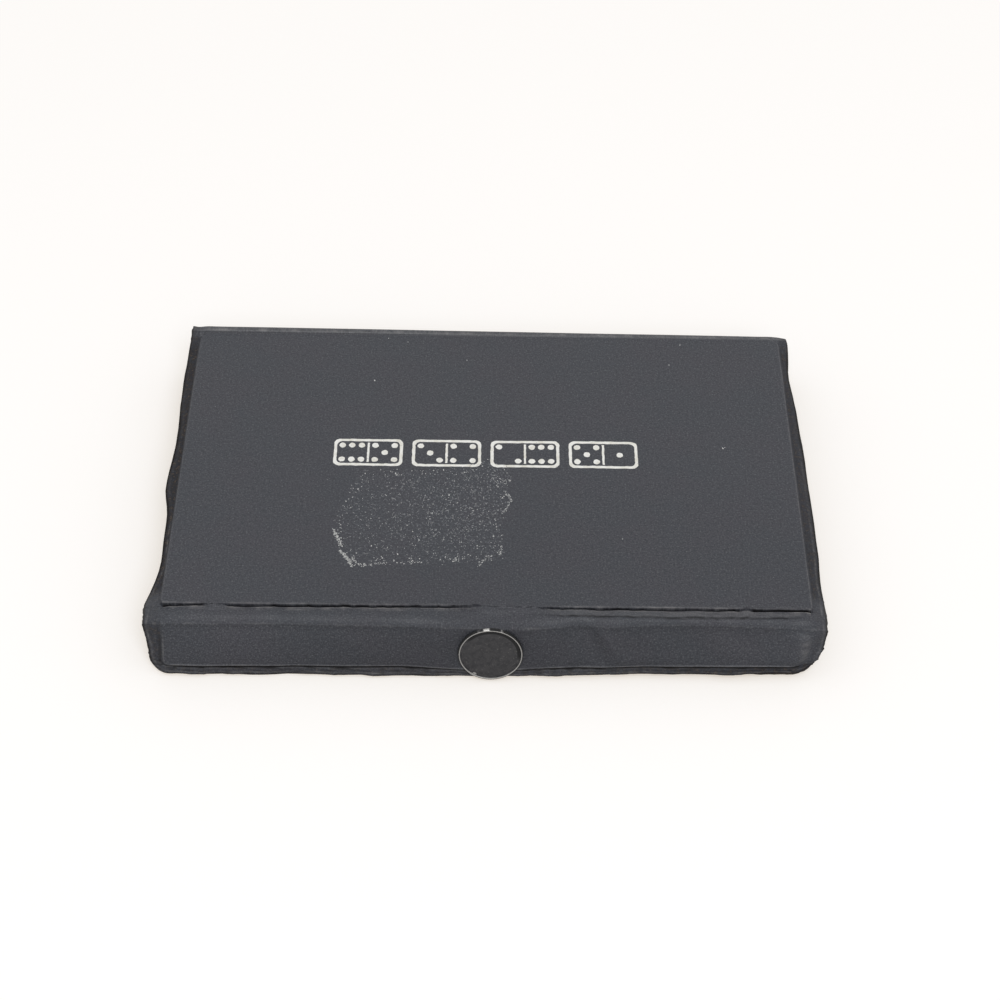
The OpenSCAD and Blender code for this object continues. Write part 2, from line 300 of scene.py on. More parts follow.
turned = np.cumsum([0, 0, rearTurn, 0, rearTurn, 0, frontTurn, 0])
baseEnd, spineStart, spineEnd, lidStart, bendStart, bendEnd, coverEnd = stations[1:]
ridgeMiddle = (spineEnd + lidStart) / 2
bendMiddle = (bendStart + bendEnd) / 2
fineAlong = np.linspace(-spare, coverEnd + spare, 14001)  # a point about every 0.02 mm
fineTurn = np.interp(fineAlong, stations, turned)
fineStep = fineAlong[1] - fineAlong[0]
middleTurn = (fineTurn[1:] + fineTurn[:-1]) / 2
fineY = cover["frontEdge"] - spare + np.concatenate([[0], np.cumsum(np.cos(middleTurn))]) * fineStep
fineZ = cover["lowerFoldZ"] + np.concatenate([[0], np.cumsum(np.sin(middleTurn))]) * fineStep


def onBase(y):
    return y - cover["frontEdge"]


def onSpine(z):
    return spineStart + z - cover["lowerFoldZ"] - rearCut


def onLid(y):
    return lidStart + cover["foldY"] - rearCut - y


def onFlap(down):
    return bendEnd + down - frontCut


def bendBack(across, along):
    # the bend isn't straight: in places the cover turns down a little earlier
    down = along - onFlap(0)
    reach = smooth(onLid(-43.9), bendStart, along) * (1 - smooth(0.8, 15, down))
    return knots(across, wear["bendBack"]) * reach


def onCover(across, along, offset):
    # a point of the cover, offset outwards from the middle of the two sheets
    turn = np.interp(along, fineAlong, fineTurn)
    y = np.interp(along, fineAlong, fineY) + np.sin(turn) * offset
    z = np.interp(along, fineAlong, fineZ) - np.cos(turn) * offset
    y = y + bendBack(across, along)
    return np.stack([np.broadcast_to(across, y.shape), y, z], axis=-1)


# What the photograph shows of the cover's shape. An edge is given as (place, millimetres beyond the
# half width); the place is along the base, y on the lid or the way down the flap. Lines over the
# whole width, such as weldDown, bendBack or grooveDepth, are given as (across, amount), and droop,
# which runs down the side edges, as (along, amount).
wear = {
    "leftBaseEdge": [(0, -0.2), (8, 0.1)],
    "rightBaseEdge": [(0, -1.5), (8, -0.4)],
    "hiddenEdge": [(20, 0.2), (45, -0.3), (75, 0.25), (97, 0.0), (101, -0.25), (108, -0.35),
                   (114.5, -0.4)],
    "leftEdge": [(46.0, -0.1), (37.6, 0.1), (26.0, 0.15), (14.8, -0.6), (3.6, -0.3), (-5.0, 0.5),
                 (-13.3, -1.0), (-21.0, -1.15), (-33.9, -0.9), (-37.8, 0.3), (-39.7, 1.0),
                 (-41.7, 1.25), (-43.6, 1.2), (-46.0, 0.9)],
    "rightEdge": [(49.0, -0.25), (43.4, -0.6), (36.2, -1.05), (30.6, -0.6), (24.0, -0.3),
                  (14.2, 0.0), (-4.5, 0.5), (-26.2, 0.35), (-36.5, 0.2), (-40.5, 0.45), (-45.0, 0.4)],
    "leftFlapEdge": [(-1.5, 0.85), (0.5, 0.85), (2.0, 0.8), (3.8, 0.6), (5.5, 0.35), (8.0, 0.1),
                     (11.0, 0.1), (14.739, 0.0)],
    "rightFlapEdge": [(-1.0, 0.2), (1.2, 0.3), (3.0, 0.2), (6.0, -0.1), (8.2, -0.75), (11.6, -1.7),
                      (14.739, -2.2)],
    "liningLip": 0.35,  # the lining shows this much beyond the outer sheet
    "burrs": [  # side, way down the flap and height
        (1, -9.8, 0.35), (1, 6.6, 0.4), (1, 9.7, 0.35), (1, 12.0, 0.3), (-1, 9.0, 0.2),
    ],
    "burrHalf": 0.28,
    "cutRough": (0.04, 0.04),  # fine and coarse unevenness of the side edges
    "endRough": (0.04, 0.06),
    "flapCorners": (4.1, 5.0),
    "baseCorners": (4.0, 5.5),
    "weldDown": [(-80, 11.95), (-44, 11.75), (-12, 11.8), (-6, 12.3), (6, 12.3), (13, 11.6), (30, 11.2),
                 (60, 10.7), (80, 10.5)],
    "edgeDown": [(-80, 14.2), (-57, 14.45), (-25, 14.3), (0, 14.15), (18, 13.65), (51, 13.0),
                 (80, 12.3)],
    "weldLine": 11.5,
    "pocketLeft": (-76.65, -77.3),
    "pocketRight": (78.6, 76.6),
    "puff": 0.5,
    "beadRise": 0.26,
    "ditchDepth": 0.42,
    "endSwell": 0.45,
    "bendDrawn": 0.75,
    "bendBack": [(-80, 0.5), (-73, 0.7), (-66, 0.65), (-56, 0.82), (-44, 0.82), (-32, 0.62),
                 (-20, 0.42), (-11, 0.12), (0, 0.0), (9, 0.05), (14, 0.3), (17.4, 0.6), (18.9, 0.95),
                 (23.5, 1.45), (27.3, 0.9), (36, 1.35), (46, 1.7), (55, 1.6), (65, 1.35), (72, 1.0),
                 (80, 0.6)],
    "rearRidge": [(-80.5, 1.5), (-78, 1.55), (-76, 1.75), (-74, 1.72), (-60, 1.6), (0, 1.2),
                  (50, 0.85), (72, 0.72), (76.5, 0.65), (78.4, 0.4), (79.6, 0.0), (80.5, -0.5)],
    "ridgeTogether": 1.25,
    "ridgeHalf": 1.15,
    "grooveY": -43.6,
    "grooveRough": (0.045, 0.05),
    "panelFront": -43.43,
    "panelSag": 0.035,
    "lidWave": 0.05,
    "grooveDepth": [(-79, 0.9), (-68, 0.95), (-66.5, 0.12), (-62.1, 0.12), (-60.6, 0.95), (-50, 1.0),
                    (-20, 0.9), (-8, 0.6), (-2, 0.08), (12, 0.05), (16, 0.6), (22, 0.95), (50, 1.0),
                    (59.5, 1.0), (60.7, 0.15), (62.3, 0.15), (63.5, 1.0), (79, 0.8)],
    "stripRise": 0.95,  # of the strip in front of the groove, where the groove isn't pressed
    "lipRise": 0.75,
    "grooveBottom": 0.25,
    "bandRise": 0.16,
    "bandFurrow": 0.1,
    "snapAcross": 1.0,
    "snapDown": 6.849,
    "marginStart": 77.9,
    "marginWidth": 2.6,
    "flapDroop": 0.35,
    "flapCrown": 0.28,
    "flapWave": 0.16,
    "droop": [(0, -0.1), (90, -0.15), (101, 0.0), (116, 0.0), (121, 0.55), (150, 0.9), (175, 0.7),
              (205, 0.95), (208, 0.75), (212, 0.35), (215, 0.25), (218, 0.3), (230, 0.5)],
    "creases": [  # place on the bend, slant, half width and height of each soft crease
        (22.0, -0.10, 1.6, 0.30),
        (25.5, 0.75, 1.6, 0.30),
        (24.5, 0.30, 1.8, -0.25),
        (36.0, -0.30, 3.5, 0.10),
        (-17.0, -0.25, 2.2, -0.12),
        (-27.0, 0.15, 3.4, 0.10),
        (-41.0, -0.20, 3.0, -0.10),
        (58.0, 0.25, 3.0, -0.12),
    ],
}
snapAlong = onFlap(wear["snapDown"])
boards = [
    (onBase(-cover["boardHalfY"]), onBase(cover["boardHalfY"])),
    (onSpine(cover["spineBoard"][0]), onSpine(cover["spineBoard"][1])),
    (onLid(cover["boardHalfY"]), onLid(cover["lidBoardFront"])),
]


def halfWidth(along, side, seed):
    # how far the cut edge lies from the middle, on the left (-1) or on the right (1)
    name = "left" if side < 0 else "right"
    points = wear[name + "BaseEdge"] + wear["hiddenEdge"]
    points += [(onLid(y), amount) for y, amount in wear[name + "Edge"]]
    points += [(onFlap(down), amount) for down, amount in wear[name + "FlapEdge"]]
    points += [(coverEnd + spare, wear[name + "FlapEdge"][-1][1])]
    fine, coarse = wear["cutRough"]
    rough = fine * ripple(seed, along, side * 40.0, 0.9, 7) + coarse * ripple(seed + 1, along, 0, 8, 30)
    for edge, down, amount in wear["burrs"]:
        rough += (edge == side) * amount * bump(along, onFlap(down), wear["burrHalf"])
    return cover["halfWidth"] + knots(along, points) + rough


def boardRise(across, along, width):
    # 1 over the boards, falling to 0 within the given width beside them
    rise = 0
    for start, end in boards:
        away = outsideOf(across, along, cover["boardHalfX"], start, end, cover["boardCorner"])
        rise = np.maximum(rise, 1 - smooth(0.03, width, away))
    return rise


def flapRow(across, along):
    # rows of the flap slide so that they follow its slanting weld and its uneven lower edge
    down = along - onFlap(0)
    weld = knots(across, wear["weldDown"])
    edge = knots(across, wear["edgeDown"])
    line = wear["weldLine"]
    above = down * weld / line
    below = weld + (down - line) * (edge - weld) / (cover["flapLength"] - line)
    return np.where(down < 0, along, onFlap(0) + np.where(down < line, above, below))


def ridgeShape(along):
    return np.exp(-(np.abs(along - ridgeMiddle) / wear["ridgeHalf"]) ** 2.5)


def bothSheets(across, along):
    # how far the two sheets together leave their plane: drooping and waving edges
    aside = np.abs(across)
    past = np.clip((aside - wear["marginStart"]) / wear["marginWidth"], 0, 1.3) ** 1.4
    wavy = 1 + 0.35 * ripple(31, along, np.sign(across) * 60, 9, 45)
    shift = -past * knots(along, wear["droop"]) * wavy
    shift += np.minimum(knots(across, wear["rearRidge"]), wear["ridgeTogether"]) * ridgeShape(along)
    down = along - onFlap(0)
    onHanging = smooth(1.5, 4, down)
    shift -= wear["flapDroop"] * smooth(74.5, 80, aside) * onHanging
    crowned = smooth(9, 16, aside) * smooth(79, 75, aside)
    shift -= wear["flapCrown"] * crowned * smooth(-3.2, 0.0, down) * (1 - smooth(0.8, 12, down))
    nearSnap = smooth(8, 14, np.hypot(across - wear["snapAcross"], down - wear["snapDown"]))
    lower = smooth(8, 14, down)
    shift += nearSnap * onHanging * lower * wear["flapWave"] * ripple(32, across, along, 10, 40)
    return shift


def pocketDepth(across, along):
    # distance into the unwelded pocket of the flap from its left, right and lower welds
    low = onFlap(wear["weldLine"])
    down = np.clip((along - onFlap(0)) / wear["weldLine"], -0.3, 1.2)
    left = wear["pocketLeft"][0] + down * (wear["pocketLeft"][1] - wear["pocketLeft"][0])
    right = wear["pocketRight"][0] + down * (wear["pocketRight"][1] - wear["pocketRight"][0])
    onLeft = -outsideOf(across - left - 100, along, 100, onLid(-30), low, 1.2)
    onRight = -outsideOf(across - right + 100, along, 100, onLid(-30), low, 4.0)
    return np.minimum(onLeft, onRight)


def panelRise(across, canonical, width):
    # 1 over the boards; in front of the lid's board the skin stays up as far as the groove
    rise = boardRise(across, canonical, width)
    front = onLid(wear["panelFront"])
    away = outsideOf(across, canonical, cover["boardHalfX"] + 0.25, onLid(40), front, 0.5)
    return np.maximum(rise, 1 - smooth(0.0, 0.2 if width < 1 else width, away))


def fromGrooveAt(across, canonical):
    # distance in front of the pressed groove, which isn't quite straight
    straight = canonical - onLid(wear["grooveY"]) - bendBack(across, canonical)
    fine, coarse = wear["grooveRough"]
    return straight + fine * ripple(52, across, 0, 1.5, 7) + coarse * ripple(53, across, 0, 12, 40)


def fromSnap(across, along):
    return np.hypot(across - wear["snapAcross"], along - snapAlong)


def frontPlaces(across, canonical):
    # how deep the groove is pressed, the distances in front of it and into the pocket, the way
    # down the flap, and the raised band that follows the groove on the right
    depth = np.clip(knots(across, wear["grooveDepth"]), 0, 1)
    band = smooth(10, 20, across) * (1 - smooth(70, 77, across))
    return (depth, fromGrooveAt(across, canonical), pocketDepth(across, canonical),
            canonical - onFlap(0), band)


def outerHeight(across, along, canonical):
    # outer face of the outer sheet, above the middle of the two sheets
    depth, fromGroove, inside, down, band = frontPlaces(across, canonical)
    snap = fromSnap(across, along)
    height = cover["sheet"] + cover["board"] * panelRise(across, canonical, cover["shoulder"])
    onPanel = boardRise(across, canonical, 6.0)
    lidPart = smooth(lidStart - 1, lidStart + 6, canonical)
    height -= wear["panelSag"] * onPanel * (1 + ripple(41, across, canonical, 22, 80))
    height += wear["lidWave"] * lidPart * onPanel * ripple(42, across, canonical, 30, 90)

    # the outer sheet alone stands up to the top of the rear ridge
    alone = np.maximum(knots(across, wear["rearRidge"]) - wear["ridgeTogether"], 0)
    height += alone * ridgeShape(canonical)

    # groove behind the flap, and the flap's puffed pocket down to its weld
    rise = smooth(-0.08, 0.2, fromGroove)
    pocket = rise * (1 - np.exp(-np.clip(inside, 0, None) / 1.1))
    uneven = 1 + 0.22 * ripple(51, across, canonical * 0.6, 7, 32) * smooth(0.3, 4, inside)
    atBend = canonical - bendMiddle
    flatBend = 1 - np.exp(-(atBend / np.where(atBend < 0, 1.6, 2.6)) ** 2)
    puffed = wear["puff"] * pocket * smooth(7.4, 12.5, snap) * np.clip(uneven, 0.3, 1.45) * flatBend
    strip = wear["stripRise"] * (1 - smooth(0, 3.5, fromGroove)) * (1 - depth)
    height += np.maximum(puffed, strip * (inside > 0) * rise)
    height += wear["lipRise"] * (1 - depth) * (inside > 0) * bump(fromGroove, 0.0, 0.11)
    height -= wear["grooveBottom"] * depth * bump(fromGroove, 0.06, 0.13)

    # the bend is creased: its round corner is drawn out towards a sharp one
    past = np.interp(canonical, fineAlong, fineTurn) - rearTurn * 2 - frontTurn / 2
    toEnd = np.clip(frontTurn / 2 - np.abs(past), 0, frontTurn / 2)
    height += wear["bendDrawn"] * (cover["bendRadius"] + height) * (1 / np.cos(toEnd) - 1)

    # raised band along the front of the groove, on the right
    onBand = smooth(0.1, 0.4, fromGroove) * (1 - smooth(1.55, 1.95, fromGroove))
    height += wear["bandRise"] * band * onBand
    height -= wear["bandFurrow"] * band * bump(fromGroove, 2.1, 0.25)

    # a pressed bead and a ditch run along the pocket's welds
    welded = smooth(-1.5, 1.5, down) * smooth(6.8, 8.2, snap)
    welded *= (1 - 0.9 * smooth(73, 77, across)) * (1 - 0.45 * smooth(-75, -76.5, across))
    height += wear["beadRise"] * welded * bump(inside, 0.2, 0.26)
    height -= wear["ditchDepth"] * welded * bump(inside, -0.6, 0.42)

    # creases beside the press stud, the dented middle and the swollen right end of the flap
    hanging = smooth(-2.5, 0.5, down) * smooth(0.2, 2.0, inside)
    for middle, lean, width, amount in wear["creases"]:
        height += amount * hanging * bump(across - lean * down, middle, width)
    height += wear["endSwell"] * hanging * bump(across, 75.0, 2.6) * smooth(0, 3, down)
    return height


def highlightShadeAndDirt(across, along, canonical, toEdge):
    # painted highlights on crests and edges, painted shade in grooves, creases and ditches, and
    # the dull welded margins, darkened by dirt and painted shade, each from 0 to 1
    depth, fromGroove, inside, down, band = frontPlaces(across, canonical)
    snap = fromSnap(across, along)
    onPanel = np.abs(across) < 77.0
    patchy = smooth(-0.8, 0.9, ripple(91, across, canonical, 2, 14))

    # the groove's painted shadow, painted highlights on its two lips and on the strip in front,
    # and the band in front of it with a painted highlight and painted shade in its furrow
    paintedShade = depth * bump(fromGroove, 0.03, 0.14) * onPanel
    # painted shade: the lid a little darker towards its front
    paintedShade += 0.05 * smooth(onLid(5), onLid(-38), canonical) * (down < 0) * smooth(-75, -20, across)
    lips = depth * (0.4 + 0.6 * patchy) * onPanel
    paintedHighlight = 1.3 * lips * bump(fromGroove, 0.4, 0.18) * (1 - 0.7 * band)
    paintedHighlight += 0.85 * lips * bump(fromGroove, -0.38, 0.18)
    paintedHighlight += (0.35 - 0.35 * band) * patchy * bump(fromGroove, 0.95, 0.3) * onPanel * depth
    paintedHighlight += 0.23 * band * smooth(0.25, 0.45, fromGroove) * (1 - smooth(1.45, 1.75, fromGroove))
    paintedShade += 0.85 * band * bump(fromGroove, 1.97, 0.24) * (0.65 + 0.35 * patchy)

    # the weld of the flap: a painted highlight on the bead, painted shade in the ditch, then the
    # layered margin
    welded = smooth(7.2, 8.4, snap) * (1 - 0.95 * smooth(73, 76, across))
    welded *= np.where(across < -75, 0.5 * smooth(1.5, 5, down), smooth(-0.5, 1.5, down))
    paintedHighlight += 0.85 * welded * bump(inside, 0.12, 0.19) * (0.6 + 0.4 * patchy)
    paintedShade += welded * bump(inside, -0.6, 0.42)
    # darker across the middle of the flap's pocket
    darkerMidFlap = np.interp(across, (-62, -30, 0, 50, 74), (0.0, 0.13, 0.17, 0.12, 0.0))
    paintedShade += darkerMidFlap * smooth(-0.5, 0.4, down) * (inside > 0)
    streaks = smooth(-0.2, 1.2, ripple(92, across * 0.25, canonical * 3, 0.8, 4))
    paintedShade += 0.5 * streaks * smooth(0.5, 0.8, -inside) * smooth(9, 10.5, down)
    # painted highlight along the front cut edge
    onFront = smooth(lidStart, bendStart, along)
    paintedHighlight += 0.45 * (0.3 + 0.7 * patchy) * bump(toEdge, 0.8, 0.17) * onFront

    # painted highlights on the bend, the rear ridge and the shoulders of the panel, with painted
    # shade beside the ridge
    # painted highlight along the bend
    rubbed = np.where(across < 15, 0.2, 0.12) * patchy * (np.abs(across) < 79)
    paintedHighlight += rubbed * bump(canonical, bendMiddle - 0.1, 0.2)
    paintedHighlight += (0.35 + 0.25 * patchy) * bump(canonical, lidStart + 0.05, 0.24)
    paintedShade += 0.3 * bump(canonical, lidStart + 0.85, 0.22) * onPanel
    away = outsideOf(across, canonical, cover["boardHalfX"], boards[2][0], onLid(-43.4), 1.0)
    shoulder = np.where(across > 0, 0.28, 0.12) * smooth(lidStart, lidStart + 3, canonical)
    paintedHighlight += shoulder * bump(away, 0.1, 0.2) * (np.abs(across) > 76.5) * (down < -4)
    # painted highlight down the swollen right end of the flap
    paintedHighlight += 0.25 * bump(across, 75.8, 1.2) * smooth(0, 4, down) * smooth(0.2, 1.0, inside)

    # the margins beside the boards, darkened by dirt and painted shade, plainer towards the front
    # and on the hanging flap
    margin = smooth(77.5, 78.1, np.abs(across)) * np.where(across < 0, 1.0, 0.7)
    front = smooth(onLid(-37.0), onLid(-41.5), canonical)
    margin *= (1 - 0.85 * front) * (0.45 + 0.55 * smooth(onLid(50.5), onLid(43), canonical))
    hanging = smooth(-0.6, 0.3, down)
    lower = smooth(10.6, 11.4, down)
    onDrop = np.where(across < 0, 0.5, 0.12) * (1 - lower)
    onDrop += lower * np.interp(across, (-80, 0, 30, 60, 80), (0.4, 0.4, 0.5, 0.85, 0.9))
    margin = margin * (1 - hanging) + hanging * onDrop * smooth(0.1, 0.7, -inside)
    return np.clip(paintedHighlight, 0, 1), np.clip(paintedShade, 0, 1), np.clip(margin, 0, 1)


def liningHeight(across, along):
    # inner face of the lining, measured inwards; it stays flat where the tray or socket lies
    flat = boardRise(across, along, 1.5)
    wavy = 0.05 * (1 - flat) * smooth(6, 9, fromSnap(across, along)) * ripple(61, across, along, 6, 30)
    return cover["sheet"] + np.clip(wavy, -0.06, 0.03)


columns = lines((-80.2, 0.35), (-78.5, 0.15), (-76.2, 0.3), (-72.5, 0.7), (-60, 1.2), (-13, 0.75),
                (15, 0.5), (30, 1.2), (58, 0.6), (64, 1.2), (70.5, 0.4), (76.2, 0.15), (78.5, 0.35),
                (80.2, 0))
plainColumns = lines((-80.2, 0.4), (-77.5, 3.0), (77.5, 0.4), (80.2, 0))


def sheetGrid(rows, crossings, outer, reach):
    # spreads a plain grid out to the sheet's cut edges and rounds its corners
    seed = 11 if outer else 21
    lip = 0.0 if outer else wear["liningLip"]
    edges = {side: halfWidth(rows, side, seed) + lip for side in (-1, 1)}
    onLidPart, onFlapPart = cover["stretchedFrom"]
    pivot = onLidPart - (onLidPart - onFlapPart) * smooth(bendStart - 3, bendStart + 1, rows)
    across = crossings
    far = 9.0  # nothing depends on an edge as far away as this
    toEdge = np.full(rows.shape, far)
    for side, edge in edges.items():
        part = np.clip((side * crossings - pivot) / (cover["halfWidth"] - pivot), 0, 1)
        moved = pivot + part * (edge - pivot)
        across = np.where(side * crossings > pivot, side * moved, across)
        toEdge = np.minimum(toEdge, edge - side * across)
    along = flapRow(across, rows)
    fine, coarse = wear["endRough"]
    ends = fine * ripple(seed + 5, across, 0, 1.0, 6) + coarse * ripple(seed + 6, across, 0, 12, 50)
    lowEnd = 1 - smooth(0, 1.6, rows)
    highEnd = smooth(coverEnd - 2.4, coverEnd, rows)
    along = along - lowEnd * (ends + reach[0]) + highEnd * (ends + reach[1])
    toEdge = np.minimum(toEdge, np.where(rows < 5, rows, far))
    toEdge = np.minimum(toEdge, np.where(rows > coverEnd - 5, coverEnd - rows, far))
    lowest = along[-1]
    for side, edge in edges.items():
        for last, corners in ((False, wear["baseCorners"]), (True, wear["flapCorners"])):
            if (last and rows[-1, 0] < coverEnd) or (not last and rows[0, 0] > 0):
                continue
            size = corners[side > 0]
            start = lowest - size if last else along[0] + size
            u = np.clip((side * across - edge + size) / size, 0, 1)
            v = np.clip((along - start) / size if last else (start - along) / size, 0, 1)
            both = (u > 0) & (v > 0)
            roundU = u * np.sqrt(1 - v * v / 2)
            roundV = v * np.sqrt(1 - u * u / 2)
            across = np.where(both, side * (edge - size + size * roundU), across)
            along = np.where(both, start + (size if last else -size) * roundV, along)
            toEdge = np.where(both, size * (1 - np.hypot(roundU, roundV)), toEdge)
    return across, along, toEdge


def closedFaces(count, width):
    # faces of a grid of points and of a second one behind it, joined round their rim
    size = count * width
    index = np.arange(size).reshape(count, width)
    a = index[:-1, :-1].ravel()
    b = index[1:, :-1].ravel()
    c = index[1:, 1:].ravel()
    d = index[:-1, 1:].ravel()
    rim = np.concatenate([index[0, :-1], index[:-1, -1], index[-1, ::-1][:-1], index[::-1, 0][:-1]])
    after = np.roll(rim, -1)
    faces = np.concatenate([np.stack([a, b, c, d], 1), np.stack([d, c, b, a], 1) + size,
                            np.stack([rim, after, after + size, rim + size], 1)])
    return faces, len(rim)


def sheetPiece(name, rows, crossings, outer, materials, reach=(0.0, 0.0)):
    # one sheet of the cover between two stations, as a closed solid of its real thickness
    crossings, rows = np.meshgrid(crossings, rows)
    across, along, toEdge = sheetGrid(rows, crossings, outer, reach)
    if outer:
        top = outerHeight(across, along, rows)
        # at the cut edge the two sheets part a little
        apart = cover["parting"] * (1 - smooth(0, cover["partingWidth"], toEdge))
        apart *= 1 + ripple(71, across, along, 6, 25)
        low = np.maximum(top - cover["sheet"], 0.0) + apart
        top = np.maximum(top + apart, low + cover["thinnest"])
    else:
        low = -liningHeight(across, along)
        top = np.zeros_like(low)
    shift = bothSheets(across, along)
    points = np.concatenate([onCover(across, along, shift + top).reshape(-1, 3),
                             onCover(across, along, shift + low).reshape(-1, 3)])
    faces, rimCount = closedFaces(*rows.shape)
    kinds = np.zeros(len(faces), dtype=np.int32)
    kinds[-rimCount:] = 1  # the rim shows the cut
    paintedHighlight, paintedShade, margin = highlightShadeAndDirt(across, along, rows, toEdge)
    spots = np.stack([across, along, np.full_like(across, 0.0 if outer else 3.0)], -1).reshape(-1, 3)

    def onTop(values):
        # marks lie on the upper side only
        return np.concatenate([values.ravel(), np.zeros(rows.size)])

    attributes = {
        "sheetCo": np.concatenate([spots, spots + np.array([0, 0, 1.0])]),
        "paintedHighlight": onTop(paintedHighlight * outer),
        "paintedShade": onTop(paintedShade * outer),
        "margin": onTop(margin),
        "edgeNear": np.tile(toEdge.ravel(), 2),
        "residue": onTop(residueAt(across, along)),
    }
    return newPiece(name, points, faces.tolist(), materials, kinds, sharp=42, attributes=attributes)


# What a peeled label left on the lid, given in x and y
label = {
    "outline": [(-37.8, -19.9), (-36.6, -24.2), (-34.2, -31.5), (-22.8, -30.9), (-11.7, -29.8),
                (-1.7, -29.9), (3.8, -28.2), (3.2, -17.7), (5.6, -8.9), (4.4, -5.7), (5.6, -2.4),
                (4.4, 1.8), (-0.3, 4.0), (-4.8, 1.5), (-18.5, 0.2), (-30.7, -0.2), (-33.6, -4.2),
                (-36.2, -11.2)],
    "within": ((-39, 7), (-32.5, 5)),
    "flecks": {"count": 1150, "size": (0.045, 0.12), "tone": (0.1, 0.85)},
    "threads": {"count": 95, "length": (0.5, 1.6), "width": (0.05, 0.1), "tone": (0.15, 0.55)},
    "crumbs": {"count": 110, "size": (0.09, 0.2), "tone": (0.55, 1.0)},
    "stand": 0.035,
    "sunk": 0.05,
    "step": 0.22,
    "bend": 0.5,
    "strokes": [  # points, width and flecks in each strokeStep of the thick lines on the outline
        ([(-37.8, -20.1), (-36.7, -22.7), (-35.5, -25.4)], 0.3, 5),
        ([(-35.8, -26.5), (-34.6, -28.4), (-33.4, -30.1), (-32.5, -31.7)], 0.32, 6),
        ([(-33.1, -28.6), (-31.7, -30.7), (-30.4, -31.4), (-28.0, -31.3)], 0.2, 3),
        ([(-28.0, -31.0), (-26.3, -30.8), (-24.3, -30.6)], 0.2, 3),
        ([(-19.2, -29.9), (-17.5, -30.3), (-16.2, -29.9)], 0.2, 2),
        ([(-11.1, -31.5), (-10.4, -29.2), (-9.8, -27.3)], 0.14, 1),
        ([(-9.2, -28.8), (-7.6, -29.4), (-6.7, -28.2)], 0.2, 3),
        ([(-2.4, -31.4), (-1.1, -29.5), (0.0, -27.7), (1.0, -28.7)], 0.18, 3),
        ([(2.8, -27.5), (3.5, -25.9), (3.5, -24.4)], 0.22, 3),
        ([(4.1, -6.7), (5.3, -8.3), (5.7, -9.7), (4.5, -12.5), (3.5, -14.2)], 0.2, 3),
        ([(1.0, -2.2), (2.6, -4.0)], 0.18, 2),
        ([(2.8, -2.4), (4.7, -3.6), (4.1, -4.4)], 0.18, 2),
    ],
    "strokeStep": 0.42,
    "strokeSpread": 0.2,
    "strokeSize": (0.3, 0.62),
    "strokeTone": (0.4, 1.0),
    "paper": shade(92, 95, 100),
    "brightPaper": (0.72, 0.72, 0.70, 1),
}
dust = {
    "seen": [  # x, y, size and tone of each speck
        (-27.1, 48.0, 0.14, 0.8), (-21.9, 46.7, 0.12, 0.6), (-6.0, 40.1, 0.13, 0.7),
        (-30.1, 32.1, 0.2, 1.0), (51.0, 46.8, 0.16, 0.8), (47.6, 39.1, 0.14, 0.7),
        (59.8, 9.0, 0.2, 0.9), (60.3, 9.3, 0.12, 0.8), (33.0, -22.0, 0.12, 0.5),
    ],
    "finer": {"count": 60, "size": (0.04, 0.09), "tone": (0.05, 0.35)},
    "within": ((-74, 74), (-41, 48)),
}


def insideLabel(x, y):
    # distance in from the label's outline, negative outside it
    corners = label["outline"]
    nearest = np.full(np.shape(x), 1e3)
    inside = np.zeros(np.shape(x), bool)
    for (ax, ay), (bx, by) in zip(corners, corners[1:] + corners[:1]):
        length = (bx - ax) ** 2 + (by - ay) ** 2
        t = np.clip(((x - ax) * (bx - ax) + (y - ay) * (by - ay)) / length, 0, 1)
        nearest = np.minimum(nearest, np.hypot(x - ax - t * (bx - ax), y - ay - t * (by - ay)))
        crosses = (ay > y) != (by > y)
        level = np.where(crosses, (y - ay) / (by - ay if by != ay else 1e-9), 0)
        inside ^= crosses & (x < ax + level * (bx - ax))
    return np.where(inside, nearest, -nearest)


def labelStrength(x, y):
    # how much of the glue is left at a place: most in the middle and at the upper right
    dense = 0.45 + 0.4 * bump(np.hypot(x + 8, (y + 12) * 1.2), 0, 15)
    dense += 0.25 * smooth(-10, 2, x) * smooth(-14, -4, y)
    dense -= 0.2 * bump(np.hypot(x + 28, y + 8), 0, 7)
    dense -= 0.15 * bump(np.hypot(x + 22, y + 25), 0, 6)
    return np.clip(dense, 0.1, 1)


def residueAt(across, along):
    # where the film of glue lies, on the grid of a sheet
    y = cover["foldY"] - rearCut - (along - lidStart)
    return smooth(-0.6, 1.2, insideLabel(across, y)) * labelStrength(across, y)


def onLidTop(x, y, lift):
    # points on the outer face of the lid
    x = np.asarray(x, float)
    along = onLid(np.asarray(y, float))
    return onCover(x, along, bothSheets(x, along) + outerHeight(x, along, along) + lift)


# Vinyl: the plain colour as red, green and blue, the grain, the roughness and where the dark rim
# fades, in millimetres from the edge
vinyl = {
    "cover": {"plain": (51, 53, 59), "grain": 1.0, "rough": 0.5, "rim": (0.1, 0.36)},
    "lining": {"plain": (40, 40, 43), "grain": 0.6, "rough": 0.42, "rim": (0.3, 0.6)},
    "grainDepth": 0.05,
    "dullness": 0.12,
}
# colours of real stains and of painted light: dirt with painted shade, a painted highlight, painted shade,
# crumbs, the dark rim and glue
stainsAndPaintedLight = {
    # dirt on the margins, with painted shade of the drooping flanges
    "dirtAndShade": shade(35, 30, 27),
    "crumbs": shade(112, 101, 92),
    # painted highlight for lit crests and edges
    "rubbed": shade(132, 130, 130),
    # painted shade for grooves, creases and ditches
    "paintedShade": shade(14, 13, 14),
    "rim": shade(20, 17, 16),
    "glueFilm": shade(72, 77, 83),
    "glueDots": shade(165, 168, 172),
}


